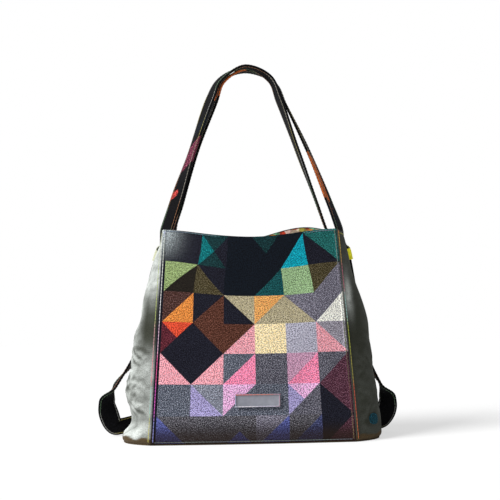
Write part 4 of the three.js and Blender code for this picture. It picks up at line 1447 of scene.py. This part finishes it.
def bare_plate(material):
    """A bare plate with a raised rim and rounded corners."""
    bpy.ops.mesh.primitive_cube_add(size=1, location=(0, 0, PLATE_THICKNESS / 2))
    piece = start_piece("plate_body")
    piece.scale = (PLATE_WIDTH, PLATE_HEIGHT, PLATE_THICKNESS)
    bpy.ops.object.transform_apply(location=True, rotation=True, scale=True)
    mesh = piece.data
    edit(
        piece,
        lambda: bpy.ops.mesh.select_mode(type="EDGE"),
        lambda: bpy.ops.mesh.select_all(action="DESELECT"),
    )
    select_upright_edges(mesh)
    bpy.ops.object.mode_set(mode="EDIT")
    bpy.ops.mesh.bevel(offset=PLATE_CORNER, segments=6)
    bpy.ops.mesh.select_mode(type="FACE")
    bpy.ops.mesh.select_all(action="DESELECT")
    bpy.ops.object.mode_set(mode="OBJECT")
    for polygon in mesh.polygons:
        polygon.select = polygon.normal.z > 0.9
    bpy.ops.object.mode_set(mode="EDIT")
    bpy.ops.mesh.inset(thickness=PLATE_RIM)
    bpy.ops.mesh.extrude_region_move(TRANSFORM_OT_translate={"value": (0, 0, -PLATE_RECESS)})
    turn_out()
    bpy.ops.object.mode_set(mode="OBJECT")
    apply_modifier(piece, "BEVEL", width=PLATE_EDGE, segments=3, limit_method="ANGLE")
    mesh.transform(plate_matrix())
    smooth(piece, 35)
    return finish_piece(piece, material, "plate", "front_plate")


# Stitching

STITCH_SLIMMING = 0.3
STITCH_FLATNESS = 0.8
STITCH_SINK = 0.3 * MM
STITCH_LIFT = 0.2 * MM


def model_stitch():
    """One stitch along X: plump in the middle, with ends that go down into the cloth."""
    bpy.ops.mesh.primitive_cylinder_add(
        vertices=6, radius=THREAD_RADIUS, depth=STITCH_LENGTH, rotation=(0, math.pi / 2, 0)
    )
    piece = bpy.context.object
    bpy.ops.object.transform_apply(location=True, rotation=True, scale=True)
    for cut in (-0.25, 0, 0.25):
        middle = (cut * STITCH_LENGTH, 0, 0)
        edit(piece, lambda: bpy.ops.mesh.bisect(plane_co=middle, plane_no=(1, 0, 0)))
    for vertex in piece.data.vertices:
        share = 2 * vertex.co.x / STITCH_LENGTH
        slim = 1 - STITCH_SLIMMING * share ** 4
        vertex.co.y *= slim
        vertex.co.z = vertex.co.z * slim * STITCH_FLATNESS - STITCH_SINK * share ** 4 + STITCH_LIFT
    piece.data.color_attributes.new("dye", "FLOAT_COLOR", "CORNER")
    for polygon in piece.data.polygons:
        polygon.use_smooth = True
    return piece


def thread_colour(run, dyes, stretch):
    """Colour of a variegated thread at a run: each dye fades into the next."""
    place = run / stretch
    here = linear(dyes[math.floor(place) % len(dyes)])
    after = linear(dyes[(math.floor(place) + 1) % len(dyes)])
    fade = smoothstep(place % 1, 0.6, 1)
    return [lerp(a, b, fade) for a, b in zip(here, after)]


def sew(name, stitch, line, dyes, stretch, material, slot):
    """Lays stitches along a line of (point, way out of the cloth) and joins them as one piece."""
    lengths = distances([point for point, _ in line])
    count = max(1, math.floor(lengths[-1] / STITCH_PITCH))
    corners = len(stitch.data.loops)
    copies = []
    k = 0
    for place in range(count):
        run = (place + 0.5) * lengths[-1] / count
        while k < len(lengths) - 2 and lengths[k + 1] < run:
            k += 1
        share = (run - lengths[k]) / (lengths[k + 1] - lengths[k])
        point = line[k][0].lerp(line[k + 1][0], share)
        along = (line[k + 1][0] - line[k][0]).normalized()
        out = line[k][1].lerp(line[k + 1][1], share)
        beside = out.cross(along).normalized()
        turn = Matrix((along, beside, along.cross(beside))).transposed().to_4x4()
        copy = stitch.copy()
        copy.data = stitch.data.copy()
        copy.data.transform(Matrix.Translation(point) @ turn)
        layer = copy.data.color_attributes["dye"]
        layer.data.foreach_set("color", thread_colour(run, dyes, stretch) * corners)
        bpy.context.collection.objects.link(copy)
        copies.append(copy)
    choose(copies[0])
    for copy in copies:
        copy.select_set(True)
    bpy.ops.object.join()
    return finish_piece(start_piece(name), material, slot)


# Threads' colours from the foot of a seam to its top, and along a strap and round the plate
LEFT_THREADS = {
    "face": ["#8f93d8", "#e055c8", "#f0559c", "#f0c2da", "#efeff2", "#f2f4f0", "#dfe6dc"],
    "side": ["#cfc65a", "#8fc9bd", "#e58a94", "#d9a0a4", "#b9c76a", "#a9b86a", "#c9d0b0"],
}
RIGHT_THREADS = {
    "face": ["#6f5a33", "#63332b", "#5a4930", "#66703c", "#80928f", "#736f78", "#738e87"],
    "side": ["#cf6a35", "#d0502e", "#a39a38", "#b5bd3a", "#a9d6d0", "#d9748c", "#d9b04a"],
}
STRAP_THREADS = ["#8f8a78", "#8f8640", "#8a8a86", "#5f7f5c", "#8f5c30", "#8a8478"]
PLATE_THREADS = ["#d9574a", "#d0705a", "#b0889a", "#c9c3d8", "#e8e4ec", "#a0a4c8"]
HEM_THREADS = ["#b9b83a", "#9fa04a", "#c4a93a"]
FOOT_THREADS = ["#5a615e", "#6a736e", "#5f646c", "#6f7772"]
TOP_THREADS = ["#6f7f90", "#5f7f86", "#3f7f80", "#54606f", "#6a5f80"]
HEM_DEPTH = 5 * MM
HEM_LIFT = 0.1 * MM
ROW_END = 0.97
FOOT_STITCH_HEIGHT = 2.6 * MM
TOP_STITCH_DROP = 2.4 * MM
SEAM_THREAD_STRETCH = BAG_HEIGHT / 7
STRAP_THREAD_STRETCH = 46 * MM
PLATE_THREAD_STRETCH = 30 * MM
SEAM_STEPS = 90


def seam_levels():
    return [lerp(WALL_FOOT + 3 * MM, BAG_HEIGHT - 2 * MM, k / SEAM_STEPS) for k in range(SEAM_STEPS + 1)]


def face_seam_line(facing, side):
    """Where the stitches run on the front or back, beside one of its seams."""
    surface = partial(face_point, facing)
    line = []
    for level in seam_levels():
        across = side["sign"] * (1 - STITCH_INSET / seam_half_width(level))
        out = outward(surface, across, level, -1, Vector((0, facing, 0)))
        line.append((surface(across, level) + out * seam_relief(STITCH_INSET), out))
    return line


def side_seam_line(facing, side):
    """Where the stitches run on a side, beside its front or back seam."""
    end = 0 if facing < 0 else 1
    surface = partial(side_point, side)
    line = []
    for level in seam_levels():
        share, run, pace = 0, 0, 0.0005
        while run < STITCH_INSET:
            step = surface(abs(end - share - pace), level) - surface(abs(end - share), level)
            run += step.length
            share += pace
        out = outward(surface, abs(end - SEAM_TURN), level, 0, Vector((0, facing, 0)))
        line.append((surface(abs(end - share), level) + out * seam_relief(STITCH_INSET), out))
    return line


def level_line(surface, level, first, last, lowest, roughly, lift=0):
    """Where the stitches run along a surface at a level, from the first place across it to the last."""
    line = []
    for k in range(SEAM_STEPS + 1):
        across = lerp(first, last, k / SEAM_STEPS)
        out = outward(surface, across, level, lowest, roughly)
        line.append((surface(across, level) + out * lift, out))
    return line


def face_level_line(facing, level):
    surface = partial(face_point, facing)
    return level_line(surface, level, -ROW_END, ROW_END, -1, Vector((0, facing, 0)))


def side_hem_line(side):
    surface = partial(side_point, side)
    outer = Vector((side["sign"], 0, 0))
    return level_line(surface, BAG_HEIGHT - HEM_DEPTH, 1 - ROW_END, ROW_END, 0, outer, HEM_LIFT)


def strap_stitch_line(strap, edge, face_side):
    keys = strap_keys(strap)
    line = []
    for run in strap_runs(keys):
        middle, _, across, face = strap_station(strap, keys, run)
        inset = strap_width(strap, run) / 2 - STRAP_STITCH_INSET
        out = face * face_side
        line.append((middle + across * edge * inset + out * (STRAP_THICKNESS / 2 - 0.25 * MM), out))
    return line


def plate_stitch_line():
    """Round the rim of the plate."""
    turn = plate_matrix()
    inset = PLATE_RIM / 2
    x, y = PLATE_WIDTH / 2 - inset, PLATE_HEIGHT / 2 - inset
    corners = [(-x, y), (x, y), (x, -y), (-x, -y), (-x, y)]
    out = turn.to_3x3() @ Vector((0, 0, 1))
    line = []
    steps = 20
    for start, end in zip(corners, corners[1:]):
        for k in range(steps):
            spot = Vector(start).lerp(Vector(end), k / steps)
            line.append((turn @ Vector((*spot, PLATE_THICKNESS)), out))
    line.append(line[0])
    return line


def sew_all():
    stitch = model_stitch()
    thread = variegated_thread()
    for side, dyes, name in ((LEFT_SIDE, LEFT_THREADS, "left"), (RIGHT_SIDE, RIGHT_THREADS, "right")):
        for facing, face in ((-1, "front"), (1, "back")):
            stretch = SEAM_THREAD_STRETCH
            line = face_seam_line(facing, side)
            sew(f"{face}_{name}_stitches", stitch, line, dyes["face"], stretch, thread, "patchwork")
            line = side_seam_line(facing, side)
            sew(f"{name}_{face}_stitches", stitch, line, dyes["side"], stretch, thread, "canvas")
        line = side_hem_line(side)
        sew(f"{name}_hem_stitches", stitch, line, HEM_THREADS, STRAP_THREAD_STRETCH, thread, "canvas")
    for facing, face in ((-1, "front"), (1, "back")):
        line = face_level_line(facing, WALL_FOOT + FOOT_STITCH_HEIGHT)
        sew(f"{face}_foot_stitches", stitch, line, FOOT_THREADS, STRAP_THREAD_STRETCH, thread, "patchwork")
        line = face_level_line(facing, BAG_HEIGHT - TOP_STITCH_DROP)
        sew(f"{face}_top_stitches", stitch, line, TOP_THREADS, STRAP_THREAD_STRETCH, thread, "patchwork")
    for strap in (LEFT_STRAP, RIGHT_STRAP):
        for edge, edge_name in ((-1, "fore"), (1, "rear")):
            for face_side, face_name in ((-1, "under"), (1, "outer")):
                line = strap_stitch_line(strap, edge, face_side)
                name = f"{strap['name']}_strap_{face_name}_{edge_name}_stitches"
                sew(name, stitch, line, STRAP_THREADS, STRAP_THREAD_STRETCH, thread, "strap_cloth")
    sew("plate_stitches", stitch, plate_stitch_line(), PLATE_THREADS, PLATE_THREAD_STRETCH, thread, "plate")
    bpy.data.objects.remove(stitch)


# Camera, light and floor

def add_camera():
    data = bpy.data.cameras.new("camera")
    data.lens = CAMERA_LENS_MM
    data.sensor_width = CAMERA_SENSOR_MM
    camera = bpy.data.objects.new("camera", data)
    bpy.context.scene.collection.objects.link(camera)
    turn = Matrix.Rotation(-CAMERA_YAW, 4, "Z")
    turn = turn @ Matrix.Rotation(math.pi / 2 + CAMERA_PITCH, 4, "X")
    turn = turn @ Matrix.Rotation(CAMERA_ROLL, 4, "Z")
    camera.matrix_world = Matrix.Translation(CAMERA_PLACE) @ turn
    bpy.context.scene.camera = camera


KEY_AZIMUTH = math.radians(-64)
KEY_ELEVATION = math.radians(38)
KEY_STRENGTH = 1.5 * math.pi
KEY_SOFTNESS = math.radians(24)
FILL = 0.27
FLOOR_SIZE = 8.0
FLOOR_OWN_WHITE = 0.6


def shown_to_camera(tree):
    """1 on rays by which the background is seen, straight, mirrored or through glass."""
    path = add_node(tree, "LightPath").outputs
    seen = add_node(tree, "Math", {0: path["Is Camera Ray"], 1: path["Is Glossy Ray"]}, operation="MAXIMUM")
    return add_node(tree, "Math", {0: seen, 1: path["Is Transmission Ray"]}, operation="MAXIMUM")


def add_light():
    world = bpy.data.worlds.new("studio")
    bpy.context.scene.world = world
    world.use_nodes = True
    tree = world.node_tree
    strength = add_node(tree, "MapRange", {"Value": shown_to_camera(tree), "To Min": FILL, "To Max": 1.0})
    background = tree.nodes["Background"]
    background.inputs["Color"].default_value = (1, 1, 1, 1)
    tree.links.new(strength.outputs["Result"], background.inputs["Strength"])
    data = bpy.data.lights.new("key", "SUN")
    data.energy = KEY_STRENGTH
    data.angle = KEY_SOFTNESS
    key = bpy.data.objects.new("key", data)
    bpy.context.scene.collection.objects.link(key)
    flat = math.cos(KEY_ELEVATION)
    towards = Vector((math.sin(KEY_AZIMUTH) * flat, -math.cos(KEY_AZIMUTH) * flat, math.sin(KEY_ELEVATION)))
    key.rotation_mode = "QUATERNION"
    key.rotation_quaternion = towards.to_track_quat("Z", "Y")
    bpy.context.scene.view_settings.view_transform = "Standard"


def add_floor():
    """A plain pale floor: part of its white is its own for the camera, so its shadow stays light."""
    bpy.ops.mesh.primitive_plane_add(size=FLOOR_SIZE)
    floor = bpy.context.object
    floor.name = "floor"
    material, tree, shader = new_material("pale_floor", 1.0, 0.0, 0.0)
    shader.inputs["Base Color"].default_value = linear("#f2f2f2")
    white = add_node(tree, "Emission", {"Color": (1, 1, 1, 1), "Strength": 1.0})
    own = add_node(tree, "MapRange", {"Value": shown_to_camera(tree), "To Max": FLOOR_OWN_WHITE})
    mixed = add_node(tree, "MixShader", {0: own, 1: shader, 2: white})
    tree.links.new(mixed.outputs["Shader"], tree.nodes["Material Output"].inputs["Surface"])
    floor.data.materials.append(material)


def build():
    noise.seed_set(WRINKLE_SEED)
    patchwork = heathered_jacquard("patchwork_jacquard", pieced_dye)
    jacquard = heathered_jacquard("strap_jacquard", patched_dye)
    canvas = washed_canvas()
    front = patchwork_face("front_cloth", -1, 0, patchwork, "patchwork", "front_panel")
    back = patchwork_face("back_cloth", 1, 3, patchwork, "back_cloth", "back_panel")
    left = canvas_side(LEFT_SIDE, "left_side_cloth", canvas, "left_gusset")
    right = canvas_side(RIGHT_SIDE, "right_side_cloth", canvas, "right_gusset")
    mend = side_mend(jacquard)
    base = canvas_base(canvas)
    lining = cotton_lining(printed_cotton())
    for strap in (LEFT_STRAP, RIGHT_STRAP):
        band = cloth_strap(strap, jacquard)
    pale = tape_keeper(LEFT_STRAP, cotton_tape("pale_cotton_tape", "#b9bb9c", "#cfd0b8"))
    yellow = tape_keeper(RIGHT_STRAP, cotton_tape("yellow_cotton_tape", "#efe60a", "#fbf63c"))
    bare_plate(grey_leatherette())
    sew_all()


add_camera()
add_light()
add_floor()
build()
